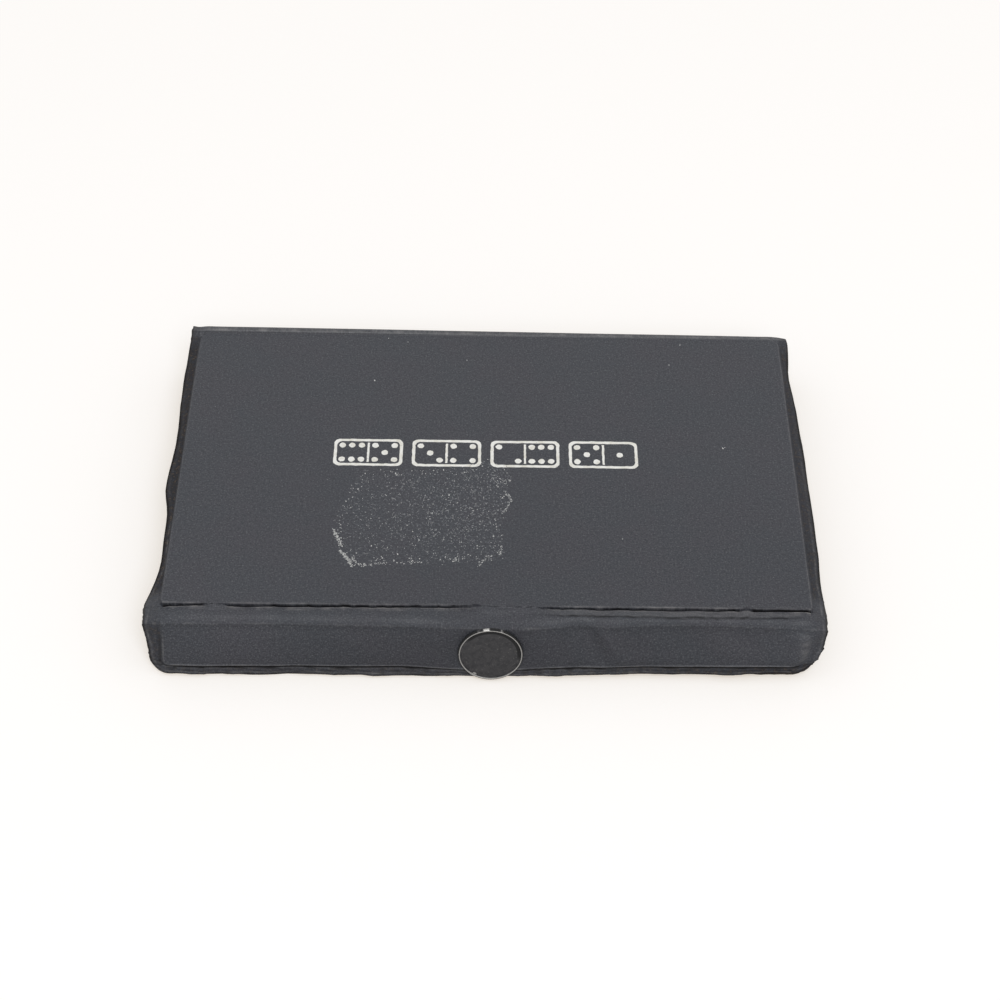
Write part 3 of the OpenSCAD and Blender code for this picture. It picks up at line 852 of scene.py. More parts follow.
def vinylFinish(name, plain, grain, rough, rim, labelled=False):
    made = Finish(name)
    spot = made.attribute("sheetCo", "Vector")
    blotch = made.noise(spot, 0.06, 3.0, 0.6)
    fine = made.noise(spot, 2.4, 3.0, 0.7)
    pores = made.cells(spot, 3.0)
    smear = made.noise(made.stretched(spot, (0.5, 1.6, 1.0)), 0.5, 3.0, 0.6)
    red, green, blue = plain
    colour = made.mixed(blotch.between(0.36, 0.64), shade(red - 2, green - 1, blue),
                        shade(red + 2, green, blue + 1))
    mottled = made.noise(spot, 1.2, 2.0, 0.6)
    colour = made.mixed(mottled.between(0.3, 0.5), shade(red - 9, green - 9, blue - 9), colour)
    colour = made.mixed(mottled.between(0.5, 0.7), colour, shade(red + 9, green + 9, blue + 8))
    colour = made.mixed(fine.between(0.3, 0.5), shade(red - 17, green - 17, blue - 17), colour)
    colour = made.mixed(fine.between(0.52, 0.74), colour, shade(red + 38, green + 37, blue + 35))
    paintedHighlight = made.attribute("paintedHighlight")
    paintedShade = made.attribute("paintedShade")
    margin = made.attribute("margin")
    edge = made.attribute("edgeNear")
    coarse = made.noise(spot, 0.9, 3.0, 0.6)
    # the margins: dirt with painted shade
    dirtAndShade = margin * (0.5 + (fine - 0.5) * 2.4 + (coarse - 0.5) * 2.6)
    colour = made.mixed(dirtAndShade, colour, stainsAndPaintedLight["dirtAndShade"])
    crumbs = margin * coarse.between(0.5, 0.62) * fine.between(0.42, 0.6)
    colour = made.mixed(crumbs * 0.4, colour, stainsAndPaintedLight["crumbs"])
    # painted highlight on lit crests and edges, patchy
    worn = paintedHighlight * (0.3 + smear.between(0.35, 0.65) * 0.7) * (0.6 + fine * 0.8)
    colour = made.mixed(worn, colour, stainsAndPaintedLight["rubbed"])
    # painted shade in grooves, creases and ditches
    colour = made.mixed(paintedShade, colour, stainsAndPaintedLight["paintedShade"])
    colour = made.mixed((1 - edge.between(*rim)) * 0.9, colour, stainsAndPaintedLight["rim"])
    shine = rough + (blotch - 0.5) * 0.12 + (smear - 0.5) * 0.14 + margin * 0.15
    height = fine * grain + pores * grain * 0.5
    if labelled:
        left = made.attribute("residue")
        mottle = made.noise(spot, 0.4, 4.0, 0.7)
        specks = made.noise(spot, 1.7, 3.0, 0.7)
        film = left * mottle.between(0.38, 0.62)
        dots = left * specks.between(0.56, 0.66) * mottle.between(0.3, 0.55)
        colour = made.mixed(film * 0.14, colour, stainsAndPaintedLight["glueFilm"])
        colour = made.mixed(dots * 0.6, colour, stainsAndPaintedLight["glueDots"])
        shine = shine + film * 0.1
        height = height + dots * grain
    normal = {"Normal": made.relief(height, vinyl["grainDepth"])}
    glossy = made.shader(colour, shine, normal)
    dull = made.shader(colour, shine, {**normal, "Specular IOR Level": vinyl["dullness"]})
    both = made.node("ShaderNodeMixShader", {}, {0: (margin * 0.9).larger(paintedShade), 1: glossy, 2: dull})
    made.node("ShaderNodeOutputMaterial", {}, {"Surface": both})
    return made.material


coverVinyl = vinylFinish("coverVinyl", labelled=True, **vinyl["cover"])
liningVinyl = vinylFinish("liningVinyl", **vinyl["lining"])


def cutFinish():
    made = Finish("cutVinyl")
    spot = made.attribute("sheetCo", "Vector")
    torn = made.noise(spot, 1.4, 4.0, 0.7)
    colour = made.mixed(torn.between(0.35, 0.7), shade(30, 25, 22), shade(66, 58, 52))
    return made.surface(colour, 0.55 + torn * 0.3, torn, 0.08)


cutVinyl = cutFinish()

# The outer sheet and the lining, each in four pieces that meet where the cover is flat. A piece
# lies over the fold between two bodies, given as its y and z, the way over it in y and z and the
# width of the turn.
sheetBodies = {
    "Base": ("base", "spine", (cover["foldY"], cover["lowerFoldZ"]), (1, 1), 0.8),
    "Spine": ("spine", "lid", (cover["foldY"], cover["upperFoldZ"]), (-1, 1), 0.8),
    "Lid": ("lid", "flap_top", (cover["lidFoldY"], cover["upperFoldZ"]), (-1, 0), 1.4),
    "Flap": ("flap_top", "flap_front", (cover["bendY"], cover["upperFoldZ"]), (-1.208, -0.978), 2.0),
}
spineSeam, rearSeam, frontSeam = cover["seams"]
seams = [0, onSpine(spineSeam), onLid(rearSeam), onLid(frontSeam), coverEnd]
outerRows = {
    "Base": lines((0, 0.12), (0.6, 0.3), (1.3, 0.14), (2.4, 0.4), (4, 1.6), (onBase(47.5), 0.4),
                  (onBase(48.8), 0.14), (baseEnd, 0.09), (spineStart, 0.14),
                  (onSpine(3.5), 0.5), (seams[1], 0)),
    "Spine": lines((seams[1], 0.5), (onSpine(12.9), 0.14), (spineEnd, 0.09), (lidStart, 0.12),
                   (seams[2], 0)),
    "Lid": lines((seams[2], 0.12), (onLid(48.6), 0.5), (onLid(47), 1.2), (onLid(-40.5), 0.5),
                 (onLid(-43.35), 0.05), (onLid(-44.0), 0.16), (seams[3], 0)),
    "Flap": lines((seams[3], 0.2), (onLid(-46.8), 0.3), (bendStart - 0.8, 0.15), (bendStart, 0.08),
                  (bendEnd, 0.15), (onFlap(2.5), 0.4), (onFlap(10.4), 0.1), (onFlap(12.6), 0.25),
                  (onFlap(14.2), 0.09), (coverEnd, 0)),
}
liningRows = {
    "Base": lines((0, 0.15), (1.0, 0.6), (4, 3.0), (onBase(47.5), 0.5), (baseEnd, 0.1),
                  (spineStart, 0.5), (seams[1], 0)),
    "Spine": lines((seams[1], 0.6), (spineEnd, 0.1), (lidStart, 0.2), (seams[2], 0)),
    "Lid": lines((seams[2], 0.2), (onLid(48), 3.0), (onLid(-41), 0.4), (seams[3], 0)),
    "Flap": lines((seams[3], 0.4), (bendStart, 0.1), (bendEnd, 0.4), (onFlap(13), 0.3),
                  (onFlap(14.2), 0.1), (coverEnd, 0)),
}
outerNodes = {
    "Base": ("base_outer_vinyl", "rear_lower_fold"),
    "Spine": ("spine_outer_vinyl", "rear_upper_fold"),
    "Lid": ("lid_outer_vinyl", "lid_front_fold"),
    "Flap": ("flap_top_outer_vinyl", "front_bend", "flap_front_outer_vinyl"),
}
liningNodes = {
    "Base": ("base_lining",),
    "Spine": ("spine_lining",),
    "Lid": ("lid_lining",),
    "Flap": ("flap_top_lining", "flap_front_lining"),
}
for part, (first, second, axis, way, width) in sheetBodies.items():
    half = 0.5 * width / math.hypot(*way)
    start = (0, (axis[0] - way[0] * half) * milli, (axis[1] - way[1] * half) * milli)
    end = (0, (axis[0] + way[0] * half) * milli, (axis[1] + way[1] * half) * milli)
    skin = sheetPiece("outer" + part, outerRows[part], columns, True, [coverVinyl, cutVinyl])
    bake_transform(skin)
    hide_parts(*outerNodes[part])
    inner = sheetPiece("lining" + part, liningRows[part], plainColumns, False,
                       [liningVinyl, cutVinyl], (0.2, 0.38))
    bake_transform(inner)
    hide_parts(*liningNodes[part])
print("cover: 8 sheets")


# White foil where the lid is printed: a plain row of dominoes, outlined with their pips
foil = {
    "middle": (-0.7, 6.1),
    "tile": (17.5, 9.2),
    "gap": 2.4,
    "line": 0.78,
    "corner": 1.5,
    "cornerSteps": 8,
    "spacing": 0.7,  # between the points of an outline
    "divider": (0.36, 1.6),  # half its width and its distance from both edges, in widths of the line
    "pipRadius": 0.84,
    "pipSides": 22,
    "pipStep": 2.45,
    "thick": 0.03,
    "sunk": 0.06,
    "worn": 0.035,
    "tiles": [(6, 5), (3, 4), (2, 6), (5, 1)],
    "white": (0.86, 0.855, 0.82, 1),
    "yellowed": (0.72, 0.70, 0.63, 1),
    "bare": shade(70, 70, 72),
}
pipPlaces = {
    1: [(0, 0)],
    2: [(-1, 1), (1, -1)],
    3: [(-1, 1), (0, 0), (1, -1)],
    4: [(-1, 1), (1, 1), (-1, -1), (1, -1)],
    5: [(-1, 1), (1, 1), (0, 0), (-1, -1), (1, -1)],
    6: [(-1, 1), (1, 1), (-1, 0), (1, 0), (-1, -1), (1, -1)],
}


class Thin:
    # gathers thin closed shapes that lie on the lid into one mesh
    def __init__(self, thick, sunk, worn):
        self.thick = thick
        self.sunk = sunk
        self.worn = worn
        self.points = []
        self.faces = []
        self.tones = []

    def laid(self, loop, tone):
        # both faces of a loop of (x, y) points, with a slightly worn outline
        loop = np.asarray(loop, float)
        x = loop[:, 0] + self.worn * ripple(81, loop[:, 0], loop[:, 1], 0.5, 2.5)
        y = loop[:, 1] + self.worn * ripple(82, loop[:, 0], loop[:, 1], 0.5, 2.5)
        first = len(self.points)
        self.points.extend(onLidTop(x, y, self.thick).tolist())
        self.points.extend(onLidTop(x, y, -self.sunk).tolist())
        self.tones.extend([tone] * (2 * len(loop)))
        return first, len(loop)

    def patch(self, loop, tone=1.0):
        # a loop filled from its middle; it turns anticlockwise seen from above
        first, count = self.laid(list(loop) + [np.mean(loop, axis=0)], tone)
        rim = count - 1
        top = first + rim
        for k in range(rim):
            a = first + k
            b = first + (k + 1) % rim
            self.faces.append((a, b, top))
            self.faces.append((b + count, a + count, top + count))
            self.faces.append((b, a, a + count, b + count))

    def band(self, outside, inside, closed, tone=1.0):
        # a strip between two lines of points; the first lies to the right of the way they run
        a, count = self.laid(outside, tone)
        b, _ = self.laid(inside, tone)
        for k in range(count if closed else count - 1):
            n = (k + 1) % count
            self.faces.append((a + k, a + n, b + n, b + k))
            self.faces.append((b + k + count, b + n + count, a + n + count, a + k + count))
            self.faces.append((a + n, a + k, a + k + count, a + n + count))
            self.faces.append((b + k, b + n, b + n + count, b + k + count))
        if not closed:
            for k, flip in ((0, False), (count - 1, True)):
                face = (a + k, b + k, b + k + count, a + k + count)
                self.faces.append(face[::-1] if flip else face)

    def piece(self, name, material):
        return newPiece(name, self.points, self.faces, [material], sharp=50,
                        attributes={"tone": self.tones})


def roundedLoop(x, y, halfX, halfY, corner):
    # points of a rectangle with round corners, anticlockwise
    loop = []
    for i, (sx, sy) in enumerate(((1, -1), (1, 1), (-1, 1), (-1, -1))):
        for k in range(foil["cornerSteps"] + 1):
            turn = math.radians(-90 + 90 * i + 90 * k / foil["cornerSteps"])
            loop.append((x + sx * (halfX - corner) + corner * math.cos(turn),
                         y + sy * (halfY - corner) + corner * math.sin(turn)))
    return evenly(loop, foil["spacing"])


def circleLoop(x, y, radius, sides):
    turns = [2 * math.pi * k / sides for k in range(sides)]
    return [(x + radius * math.cos(turn), y + radius * math.sin(turn)) for turn in turns]


def foilTiles():
    printed = Thin(foil["thick"], foil["sunk"], foil["worn"])
    wide, tall = foil["tile"]
    pitch = wide + foil["gap"]
    line = foil["line"]
    half, inset = (line * share for share in foil["divider"])
    for k, ends in enumerate(foil["tiles"]):
        x = foil["middle"][0] + (k - (len(foil["tiles"]) - 1) / 2) * pitch
        y = foil["middle"][1]
        # as many points inside as outside, so that the line is one band
        outside = roundedLoop(x, y, wide / 2, tall / 2, foil["corner"])
        inside = []
        for px, py in outside:
            dx = (px - x) * (wide / 2 - line) / (wide / 2)
            dy = (py - y) * (tall / 2 - line) / (tall / 2)
            inside.append((x + dx, y + dy))
        printed.band(outside, inside, True)
        steps = np.linspace(-tall / 2 + inset, tall / 2 - inset, 12)
        printed.band([(x + half, y + t) for t in steps], [(x - half, y + t) for t in steps], False)
        for side, count in zip((-1, 1), ends):
            middle = x + side * (wide / 4 - line * 0.25)
            for i, j in pipPlaces[count]:
                # a six lies along its half of the tile
                i, j = (j, i) if count == 6 else (i, j)
                printed.patch(circleLoop(middle + i * foil["pipStep"], y + j * foil["pipStep"],
                                         foil["pipRadius"], foil["pipSides"]))
    made = Finish("whiteFoil")
    spot = made.place()
    patchy = made.noise(spot, 0.5, 4.0, 0.65)
    bare = made.noise(spot, 1.6, 3.0, 0.7)
    colour = made.mixed(patchy.between(0.4, 0.68), foil["white"], foil["yellowed"])
    colour = made.mixed(bare.between(0.66, 0.74) * 0.8, colour, foil["bare"])
    material = made.surface(colour, 0.34 + patchy * 0.2, bare + patchy, 0.03)
    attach(printed.piece("foilDominoes", material), "lid")


foilTiles()
print("foil: row of dominoes")


def labelRemains():
    # flecks, threads and brighter crumbs of paper and glue
    random = np.random.default_rng(7)
    glue = Thin(label["stand"], label["sunk"], 0.0)

    def fleck(x, y, size, tone):
        count = int(random.integers(5, 8))
        turn = random.uniform(0, 2 * math.pi)
        long = random.uniform(1.0, 1.9)
        loop = []
        for k in range(count):
            angle = 2 * math.pi * k / count
            radius = size * random.uniform(0.6, 1.1)
            u = radius * long * math.cos(angle)
            v = radius * math.sin(angle)
            loop.append((x + u * math.cos(turn) - v * math.sin(turn),
                         y + u * math.sin(turn) + v * math.cos(turn)))
        glue.patch(loop, tone)

    def thread(path, width, tone):
        path = np.asarray(path, float)
        half = width / 2 * random.uniform(0.6, 1.3, len(path))
        half[0] = half[-1] = width * 0.12
        aside = toRight(np.gradient(path, axis=0)) * half[:, None]
        glue.band(path + aside, path - aside, False, tone)

    def wander(x, y, turn, length):
        path = [(x, y)]
        for _ in range(max(3, int(length / label["step"]))):
            turn += random.normal(0, label["bend"])
            x += label["step"] * math.cos(turn)
            y += label["step"] * math.sin(turn)
            path.append((x, y))
        return path

    def anywhere(want):
        # a seeded place on the label; want gives the chance that a place is taken
        while True:
            x, y = (random.uniform(*ends) for ends in label["within"])
            depth = float(insideLabel(np.array(x), np.array(y)))
            strength = float(labelStrength(np.array(x), np.array(y)))
            if depth > -0.3 and random.uniform(0, 1) < want(depth, strength):
                return x, y

    flecks, threads, crumbs, finer = label["flecks"], label["threads"], label["crumbs"], dust["finer"]
    for _ in range(flecks["count"]):
        x, y = anywhere(lambda depth, strength: strength)
        fleck(x, y, random.uniform(*flecks["size"]), random.uniform(*flecks["tone"]))
    for _ in range(threads["count"]):
        x, y = anywhere(lambda depth, strength: 0.25 + 0.75 * strength)
        path = wander(x, y, random.uniform(0, 2 * math.pi), random.uniform(*threads["length"]))
        thread(path, random.uniform(*threads["width"]), random.uniform(*threads["tone"]))
    for _ in range(crumbs["count"]):
        x, y = anywhere(lambda depth, strength: 0.15 + 0.85 * float(depth < 2.2))
        fleck(x, y, random.uniform(*crumbs["size"]), random.uniform(*crumbs["tone"]))

    # the thick lines that stand along the outline
    for points, width, times in label["strokes"]:
        for (ax, ay), (bx, by) in zip(points, points[1:]):
            for _ in range(int(times * math.hypot(bx - ax, by - ay) / label["strokeStep"])):
                t = random.uniform(0, 1)
                aside = random.normal(0, label["strokeSpread"], 2)
                fleck(ax + (bx - ax) * t + aside[0], ay + (by - ay) * t + aside[1],
                      width * random.uniform(*label["strokeSize"]), random.uniform(*label["strokeTone"]))

    # loose specks of dust elsewhere on the lid
    for speck in dust["seen"]:
        fleck(*speck)
    for _ in range(finer["count"]):
        x, y = (random.uniform(*ends) for ends in dust["within"])
        fleck(x, y, random.uniform(*finer["size"]), random.uniform(*finer["tone"]))
    made = Finish("gluePaper")
    tone = made.attribute("tone")
    spot = made.place()
    flaky = made.noise(spot, 3.0, 3.0, 0.6)
    colour = made.mixed(tone * (0.75 + flaky * 0.4), label["paper"], label["brightPaper"])
    material = made.surface(colour, 0.6 + flaky * 0.25, flaky, 0.03)
    piece = glue.piece("labelRemains", material)
    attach(piece, "lid")


labelRemains()
print("label: flecks and threads")


# The press stud stands square to the closed flap; its parts are turned about the line through
# snapMiddle along snapOut
lean = math.radians(cover["flapLean"])
snapUp = np.array([0, math.sin(lean), math.cos(lean)])
snapOut = np.array([0, -math.cos(lean), math.sin(lean)])
snapMiddle = np.array([wear["snapAcross"], cover["bendY"], cover["upperFoldZ"]]) - snapUp * wear["snapDown"]


def bySnap(x, up, out):
    # a point given across, up along the flap and outwards from it
    x, up, out = np.broadcast_arrays(np.asarray(x, float), up, out)
    sideways = snapMiddle + x[..., None] * np.array([1.0, 0, 0])
    return sideways + up[..., None] * snapUp + out[..., None] * snapOut


def lathed(name, profile, material, attribute=None, closed=False, count=112):
    # a body turned from (radius, height outwards) points, with a pole wherever the radius is 0
    points = []
    faces = []
    worn = []
    rings = []
    turns = np.linspace(0, 2 * math.pi, count, endpoint=False)
    for radius, out in profile:
        rings.append(list(range(len(points), len(points) + (count if radius > 0 else 1))))
        used = turns if radius > 0 else turns[:1]
        points.extend(bySnap(radius * np.cos(used), radius * np.sin(used), out).tolist())
        if attribute:
            worn.extend(np.broadcast_to(attribute(radius, out, used), used.shape).tolist())
    pairs = list(zip(rings, rings[1:])) + ([(rings[-1], rings[0])] if closed else [])
    for low, high in pairs:
        for k in range(count):
            n = (k + 1) % count
            if len(low) == 1:
                faces.append((low[0], high[n], high[k]))
            elif len(high) == 1:
                faces.append((low[k], low[n], high[0]))
            else:
                faces.append((low[k], low[n], high[n], high[k]))
    return newPiece(name, points, faces, [material], sharp=35,
                    attributes={"worn": worn} if attribute else None)


def rounded(*corners):
    # a profile with its corners rounded; each corner is (radius, height, rounding)
    found = []
    for k, (radius, out, size) in enumerate(corners):
        here = np.array([radius, out])
        before = np.array(corners[k - 1][:2]) - here
        after = np.array(corners[(k + 1) % len(corners)][:2]) - here
        if size == 0:
            found.append((radius, out))
            continue
        first = here + before / np.hypot(*before) * size
        last = here + after / np.hypot(*after) * size
        for t in (0, 0.3, 0.7, 1):
            spot = first * (1 - t) ** 2 + here * 2 * t * (1 - t) + last * t ** 2
            found.append((float(spot[0]), float(spot[1])))
    return found


def fitted(piece, body, node):
    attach(piece, body)
    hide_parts(node)


cap = {
    "radius": 7.75,
    "rim": 0.5,
    "face": 1.24,
    "top": 1.42,
    "under": 0.42,
    "post": 1.5,
    "postEnd": -0.8,
    "moat": 0.14,
    "nick": 238,  # degrees round the cap, anticlockwise from the right
    "nickWidth": 4.5,
    "chips": [  # place and half width in degrees, and strength of each
        (98, 5.0, 1.5), (70, 2.5, 0.7), (235, 5.0, 0.9), (111, 2.0, 0.6), (305, 2.5, 0.4),
        (12, 2.0, 0.35), (180, 2.2, 0.35),
    ],
    "paint": (shade(38, 38, 41), shade(53, 52, 54)),
    "dust": shade(112, 110, 106),
    # painted shade for the crescent inside the upper rim and for the side wall
    "paintedCapShade": shade(9, 9, 10),
    "bareMetal": (0.48, 0.47, 0.455, 1),
}
outerRadius = cap["radius"]
faceRadius = outerRadius - cap["rim"]


def capWorn(radius, out, turns):
    # 1 where the metal is bare, on the rim and at chips down its side, 0 where painted shade lies,
    # in a crescent inside the upper rim and on the side wall, and half way on the paint
    onRim = smooth(faceRadius - 0.04, faceRadius + 0.03, radius)
    onRim = onRim * (1 - smooth(outerRadius - 0.25, outerRadius - 0.12, radius))
    onRim = onRim * smooth(cap["top"] - 0.32, cap["top"] - 0.12, out)
    side = smooth(outerRadius - 0.3, outerRadius - 0.1, radius) * smooth(0.3, 0.5, out)
    chipped = 0
    for degrees, width, amount in cap["chips"]:
        away = (np.degrees(turns) - degrees + 180) % 360 - 180
        chipped += amount * bump(away, 0, width)
    inFace = (out > 1.0) * (radius < faceRadius)
    nick = bump(np.degrees(turns), cap["nick"], cap["nickWidth"]) * inFace
    nick = nick * smooth(faceRadius - 0.85, faceRadius - 0.15, radius)
    bare = np.clip(onRim * (0.9 + 0.15 * np.sin(turns * 3 + 1)) + side * chipped + nick, 0, 1)
    # painted shadow: a crescent on the face just inside the upper rim
    inRim = inFace * smooth(faceRadius - 0.98, faceRadius - 0.66, radius)
    inRim = inRim * smooth(0.0, 0.5, np.sin(turns + 0.4))
    # painted shade on the side wall and in the crescent
    capShadeMask = np.maximum(side * (bare < 0.3), inRim)
    return 0.5 + 0.5 * (bare - (1 - bare) * capShadeMask)


def capFinish():
    made = Finish("capPaint")
    spot = made.place()
    grain = made.noise(spot, 5.0, 3.0, 0.7)
    dust = made.noise(spot, 2.2, 4.0, 0.75)
    patch = made.noise(spot, 0.9, 3.0, 0.6)
    worn = made.attribute("worn")
    bare = worn * 2.0 - 1.0
    # painted shade where the worn attribute falls below half
    paintedCapShade = (1.0 - worn * 2.0).between(0.1, 0.7)
    bare = (bare * 1.15 + (patch - 0.5) * 0.6 + (grain - 0.5) * 0.5).between(0.38, 0.72)
    paint = made.mixed(patch.between(0.35, 0.65), *cap["paint"])
    paint = made.mixed(dust.between(0.57, 0.68) * 0.45, paint, cap["dust"])
    paint = made.mixed(paintedCapShade, paint, cap["paintedCapShade"])
    colour = made.mixed(bare, paint, cap["bareMetal"])
    shine = 0.42 + (patch - 0.5) * 0.15 - bare * 0.08 + paintedCapShade * 0.45
    return made.surface(colour, shine, grain + bare * -1.5, 0.02, {"Metallic": bare * 0.8})


def metalFinish(name, light, dark, shine, streak):
    made = Finish(name)
    spot = made.place()
    rubbed = made.noise(made.stretched(spot, streak), 1.5, 3.0, 0.6)
    spots = made.noise(spot, 1.1, 4.0, 0.65)
    colour = made.mixed(spots.between(0.3, 0.75), light, dark)
    return made.surface(colour, shine + (rubbed - 0.5) * 0.25, rubbed, 0.01, {"Metallic": 1.0})


nickel = metalFinish("nickelPlate", (0.74, 0.73, 0.7, 1), (0.55, 0.53, 0.5, 1), 0.28, (1, 1, 1))
wireSteel = metalFinish("drawnSteel", (0.6, 0.6, 0.6, 1), (0.42, 0.41, 0.4, 1), 0.3, (1, 1, 0.2))
capProfile = [(0, cap["face"]), (3.5, cap["face"]), (5.6, cap["face"] - 0.01), (6.2, cap["face"] - 0.03),
              (6.5, cap["face"] - 0.05), (6.95, cap["face"] - cap["moat"] * 0.8),
              (faceRadius - 0.05, cap["face"] - cap["moat"]), (faceRadius + 0.01, cap["face"] - 0.06),
              (faceRadius + 0.04, cap["top"] - 0.05), (faceRadius + 0.08, cap["top"]),
              (outerRadius - 0.24, cap["top"] + 0.005), (outerRadius - 0.13, cap["top"] - 0.04),
              (outerRadius - 0.04, cap["top"] - 0.12), (outerRadius, cap["top"] - 0.24),
              (outerRadius + 0.01, 0.95), (outerRadius - 0.02, 0.7),
              (outerRadius - 0.1, 0.52), (outerRadius - 0.25, cap["under"]), (6.0, cap["under"]),
              (cap["post"], cap["under"]), (cap["post"], cap["postEnd"] + 0.15),
              (cap["post"] - 0.15, cap["postEnd"]), (0, cap["postEnd"])]
fitted(lathed("studCap", capProfile, capFinish(), capWorn), "flap_front", "snap_cap")

socket = {"hole": 1.56, "radius": 5.0, "start": -0.4, "end": -2.5, "plate": 0.4, "chamber": 4.3,
          "mouth": 2.7}
inner = socket["start"] - socket["plate"]
outer = socket["end"] + socket["plate"]
socketProfile = rounded((socket["hole"], socket["start"], 0.05), (socket["radius"], socket["start"], 0.3),
                        (socket["radius"], socket["end"], 0.35), (socket["mouth"], socket["end"], 0.18),
                        (socket["mouth"], outer, 0.06), (socket["chamber"], outer, 0.1),
                        (socket["chamber"], inner, 0.1), (socket["hole"], inner, 0.05))
socketPiece = lathed("studSocket", socketProfile, nickel, closed=True)
fitted(socketPiece, "flap_front", "snap_socket")

wireLoop = {"halfGap": 2.2, "side": 3.0, "out": -1.45, "wire": 0.19, "endSteps": 24, "around": 14}


def springLoop():
    # one closed wire: two straight sides and two round ends
    path = []
    for k in range(wireLoop["endSteps"] + 1):
        turn = math.pi * k / wireLoop["endSteps"]
        path.append((wireLoop["halfGap"] * math.cos(turn),
                     wireLoop["side"] / 2 + wireLoop["halfGap"] * math.sin(turn)))
    path += [(-x, -y) for x, y in path]
    path = np.array(evenly(path, 0.5))
    side = toRight(np.roll(path, -1, axis=0) - np.roll(path, 1, axis=0))
    points = []
    around = wireLoop["around"]
    for k in range(around):
        turn = 2 * math.pi * k / around
        ring = path + side * wireLoop["wire"] * math.cos(turn)
        points.append(bySnap(ring[:, 0], ring[:, 1], wireLoop["out"] + wireLoop["wire"] * math.sin(turn)))
    count = len(path)
    faces = []
    for k in range(around):
        m = (k + 1) % around
        for i in range(count):
            n = (i + 1) % count
            faces.append((k * count + i, k * count + n, m * count + n, m * count + i))
    return newPiece("studSpring", np.concatenate(points), faces, [wireSteel])


fitted(springLoop(), "flap_front", "socket_spring")

stud = {"neck": 1.65, "knob": 1.9, "top": -1.0, "knobEnd": -1.85, "neckTop": -1.95, "foot": -2.7,
        "base": 4.8, "under": -3.2, "bore": 1.05, "boreEnd": -2.2}
studProfile = rounded((0, stud["top"], 0), (stud["knob"], stud["top"], 0.4),
                      (stud["knob"], stud["knobEnd"], 0.12), (stud["neck"], stud["neckTop"], 0.04),
                      (stud["neck"], stud["foot"], 0.12), (stud["base"], stud["foot"], 0.2),
                      (stud["base"], stud["under"], 0.08), (stud["bore"], stud["under"], 0.03),
                      (stud["bore"], stud["boreEnd"], 0.05), (0, stud["boreEnd"], 0))
fitted(lathed("studPost", studProfile, nickel), "base", "press_stud")

rivet = {"shank": 0.95, "end": -2.28, "under": -4.08, "head": 4.3, "face": -4.68}
rivetProfile = [(0, rivet["end"]), (rivet["shank"] - 0.15, rivet["end"]),
                (rivet["shank"], rivet["end"] - 0.17), (rivet["shank"], rivet["under"]),
                (rivet["head"] - 0.2, rivet["under"]), (rivet["head"], rivet["under"] - 0.12),
                (rivet["head"] - 0.05, rivet["face"] + 0.18), (rivet["head"] - 0.4, rivet["face"] + 0.04),
                (rivet["head"] - 1.3, rivet["face"]), (0, rivet["face"])]
fitted(lathed("studRivet", rivetProfile, nickel), "base", "stud_rivet")
print("press stud: cap, socket, spring, post and rivet")


# The moulded tray and the boards keep the frame's own shapes
tray = {"edge": 0.32, "steps": 2, "sharp": 28, "weldWithin": 0.01, "flatWithin": 0.6, "grainDepth": 0.03,
        "plain": (shade(29, 29, 31), shade(36, 36, 38)), "rubbed": shade(74, 74, 76)}
board = {"plain": (shade(150, 142, 128), shade(178, 171, 158)), "fibre": shade(108, 100, 88)}


def trayFinish():
    made = Finish("trayPlastic")
    spot = made.place()
    grain = made.noise(spot, 3.2, 3.0, 0.6)
    cloudy = made.noise(spot, 0.05, 3.0, 0.6)
    rubs = made.noise(made.stretched(spot, (0.25, 2.6, 1.0)), 0.9, 4.0, 0.7)
    colour = made.mixed(cloudy.between(0.35, 0.65), *tray["plain"])
    colour = made.mixed(rubs.between(0.6, 0.75) * 0.3, colour, tray["rubbed"])
    shine = 0.4 + (cloudy - 0.5) * 0.12 + rubs.between(0.55, 0.75) * 0.15
    return made.surface(colour, shine, grain, tray["grainDepth"])


def boardFinish():
    made = Finish("greyBoard")
    spot = made.place()
    pulp = made.noise(made.stretched(spot, (0.6, 1.4, 1.0)), 0.8, 5.0, 0.75)
    fibre = made.noise(made.stretched(spot, (0.35, 3.2, 1.0)), 1.4, 3.0, 0.6)
    colour = made.mixed(pulp.between(0.35, 0.68), *board["plain"])
    colour = made.mixed(fibre.between(0.62, 0.72) * 0.5, colour, board["fibre"])
    return made.surface(colour, 0.82 + pulp * 0.12, pulp + fibre, 0.05)


def dressed(node, material):
    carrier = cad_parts[node]
    for place in carrier.material_slots:
        place.material = material
    return carrier


trayPiece = dressed("tray", trayFinish())
weld = trayPiece.modifiers.new("weld", "WELD")  # its edges are rounded once it is one clean mesh
weld.merge_threshold = tray["weldWithin"] * milli
flat = trayPiece.modifiers.new("flat", "DECIMATE")
flat.decimate_type = "DISSOLVE"
flat.angle_limit = math.radians(tray["flatWithin"])
edges = trayPiece.modifiers.new("edges", "BEVEL")
edges.width = tray["edge"] * milli
edges.segments = tray["steps"]
edges.limit_method = "ANGLE"
edges.angle_limit = math.radians(tray["sharp"])
edges.harden_normals = True
greyBoard = boardFinish()
for node in ("base_board", "spine_board", "lid_board"):
    dressed(node, greyBoard)
print("tray and 3 boards dressed")


# Table, light and camera
stage = {
    "tableHalf": 3000,
    "table": (0.6, 0.66, 0.75, 1),
    "mottle": 1.01,
    "bounce": (0.62, 0.605, 0.59, 1),
    "tableGlow": (0.475, 0.4, 0.3, 1),
    "room": 0.55,
    "lampPower": 28.0,
    "lampPlace": (0.25, -1.45, 1.85),  # this and the next two in metres
    "lampAim": (0, 0, 0.01),
    "lampSize": 1.6,
}
view = {
    "place": (-0.46, -335.82, 381.26),
    "pitch": 48.207,
    "yaw": 0.602,
    "roll": 1.114,
    "focal": 1967.7,  # in pixels of a picture as wide as the next line says
    "wide": 1000,
}


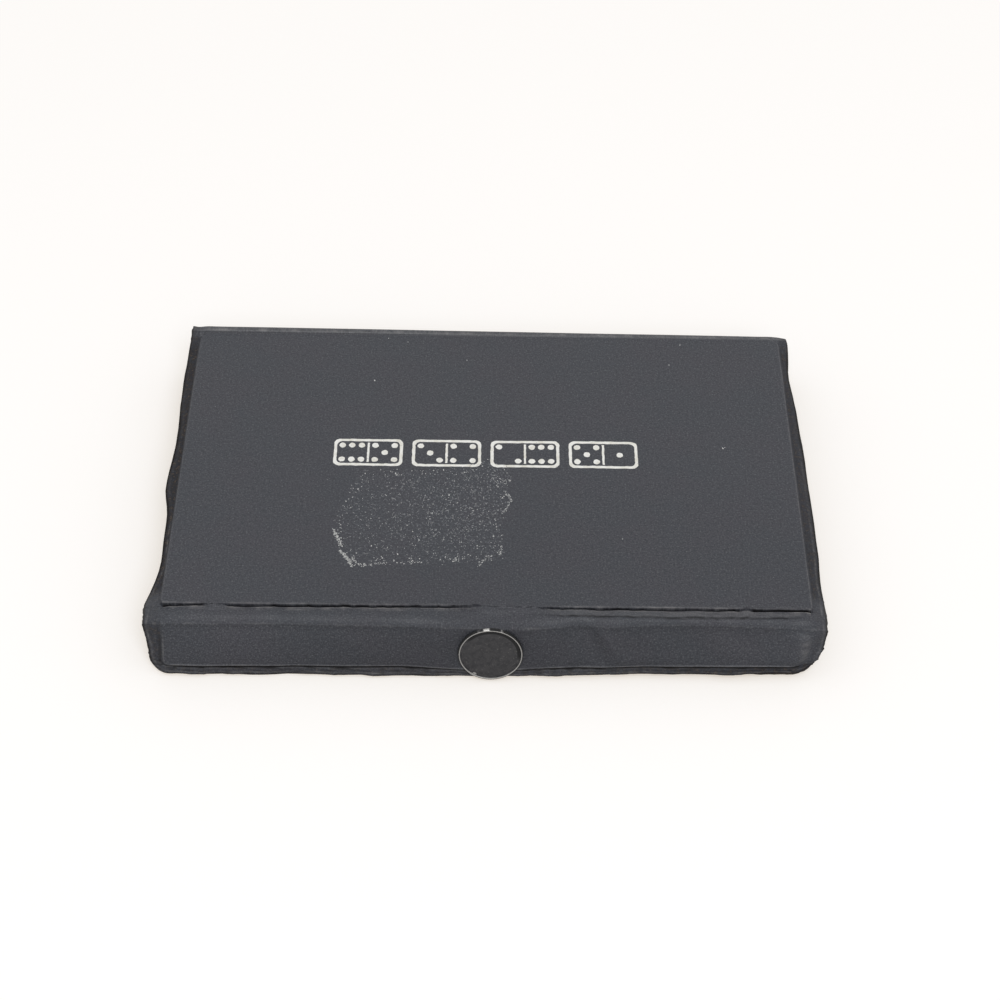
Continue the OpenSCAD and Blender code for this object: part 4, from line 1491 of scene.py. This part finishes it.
def tableTop():
    half = stage["tableHalf"]
    points = [(-half, -half, 0), (half, -half, 0), (half, half, 0), (-half, half, 0)]
    made = Finish("tablePaper")
    fibres = made.noise(made.place(), 0.4, 4.0, 0.6)
    seen = made.node("ShaderNodeLightPath", output="Is Camera Ray")
    paler = tuple(value * stage["mottle"] for value in stage["table"])
    colour = made.mixed(fibres, stage["table"], paler)
    colour = made.mixed(seen, stage["bounce"], colour)
    glowing = made.mixed(seen, (0, 0, 0, 1), stage["tableGlow"])
    material = made.surface(colour, 0.9, others={"Specular IOR Level": 0.0, "Emission Strength": 1.0,
                                                 "Emission Color": glowing})
    newPiece("tableTop", points, [(0, 1, 2, 3)], [material])


def roomWorld():
    # dim light from all round, seen as white
    made = Finish("room", world=True)
    rays = [made.node("ShaderNodeLightPath", output=name)
            for name in ("Is Camera Ray", "Is Glossy Ray", "Is Transmission Ray")]
    seen = made.node("ShaderNodeClamp", {}, {"Value": rays[0] + rays[1] + rays[2]})
    white = (1.0, 1.0, 1.0, 1.0)
    dim = made.node("ShaderNodeBackground", {}, {"Color": white, "Strength": stage["room"]})
    bright = made.node("ShaderNodeBackground", {}, {"Color": white, "Strength": 1.0})
    both = made.node("ShaderNodeMixShader", {}, {0: seen, 1: dim, 2: bright})
    made.node("ShaderNodeOutputWorld", {}, {"Surface": both})
    bpy.context.scene.world = made.material


def softLamp():
    lamp = bpy.data.objects.new("softLamp", bpy.data.lights.new("softLamp", "AREA"))
    lamp.data.shape = "DISK"
    lamp.data.size = stage["lampSize"]
    lamp.data.energy = stage["lampPower"]
    lamp.location = stage["lampPlace"]
    toward = Vector(stage["lampAim"]) - lamp.location
    lamp.rotation_euler = toward.to_track_quat("-Z", "Y").to_euler()
    bpy.context.scene.collection.objects.link(lamp)


def cameraAt(place, pitch, yaw, roll, focal, wide):
    pitch, yaw, roll = (math.radians(angle) for angle in (pitch, yaw, roll))
    ahead = Vector((math.sin(yaw) * math.cos(pitch), math.cos(yaw) * math.cos(pitch), -math.sin(pitch)))
    level = Vector((math.cos(yaw), -math.sin(yaw), 0))
    above = level.cross(ahead)
    right = level * math.cos(roll) + above * math.sin(roll)
    up = above * math.cos(roll) - level * math.sin(roll)
    turn = Matrix((right, up, -ahead)).transposed().to_4x4()
    camera = bpy.data.objects.new("photoCamera", bpy.data.cameras.new("photoCamera"))
    camera.data.lens = camera.data.sensor_width * focal / wide
    camera.data.clip_start = 10 * milli
    camera.matrix_world = Matrix.Translation(Vector(place) * milli) @ turn
    bpy.context.scene.collection.objects.link(camera)
    bpy.context.scene.camera = camera


tableTop()
roomWorld()
softLamp()
cameraAt(**view)
bpy.context.scene.view_settings.view_transform = "Standard"
print("stage: table, light and camera")
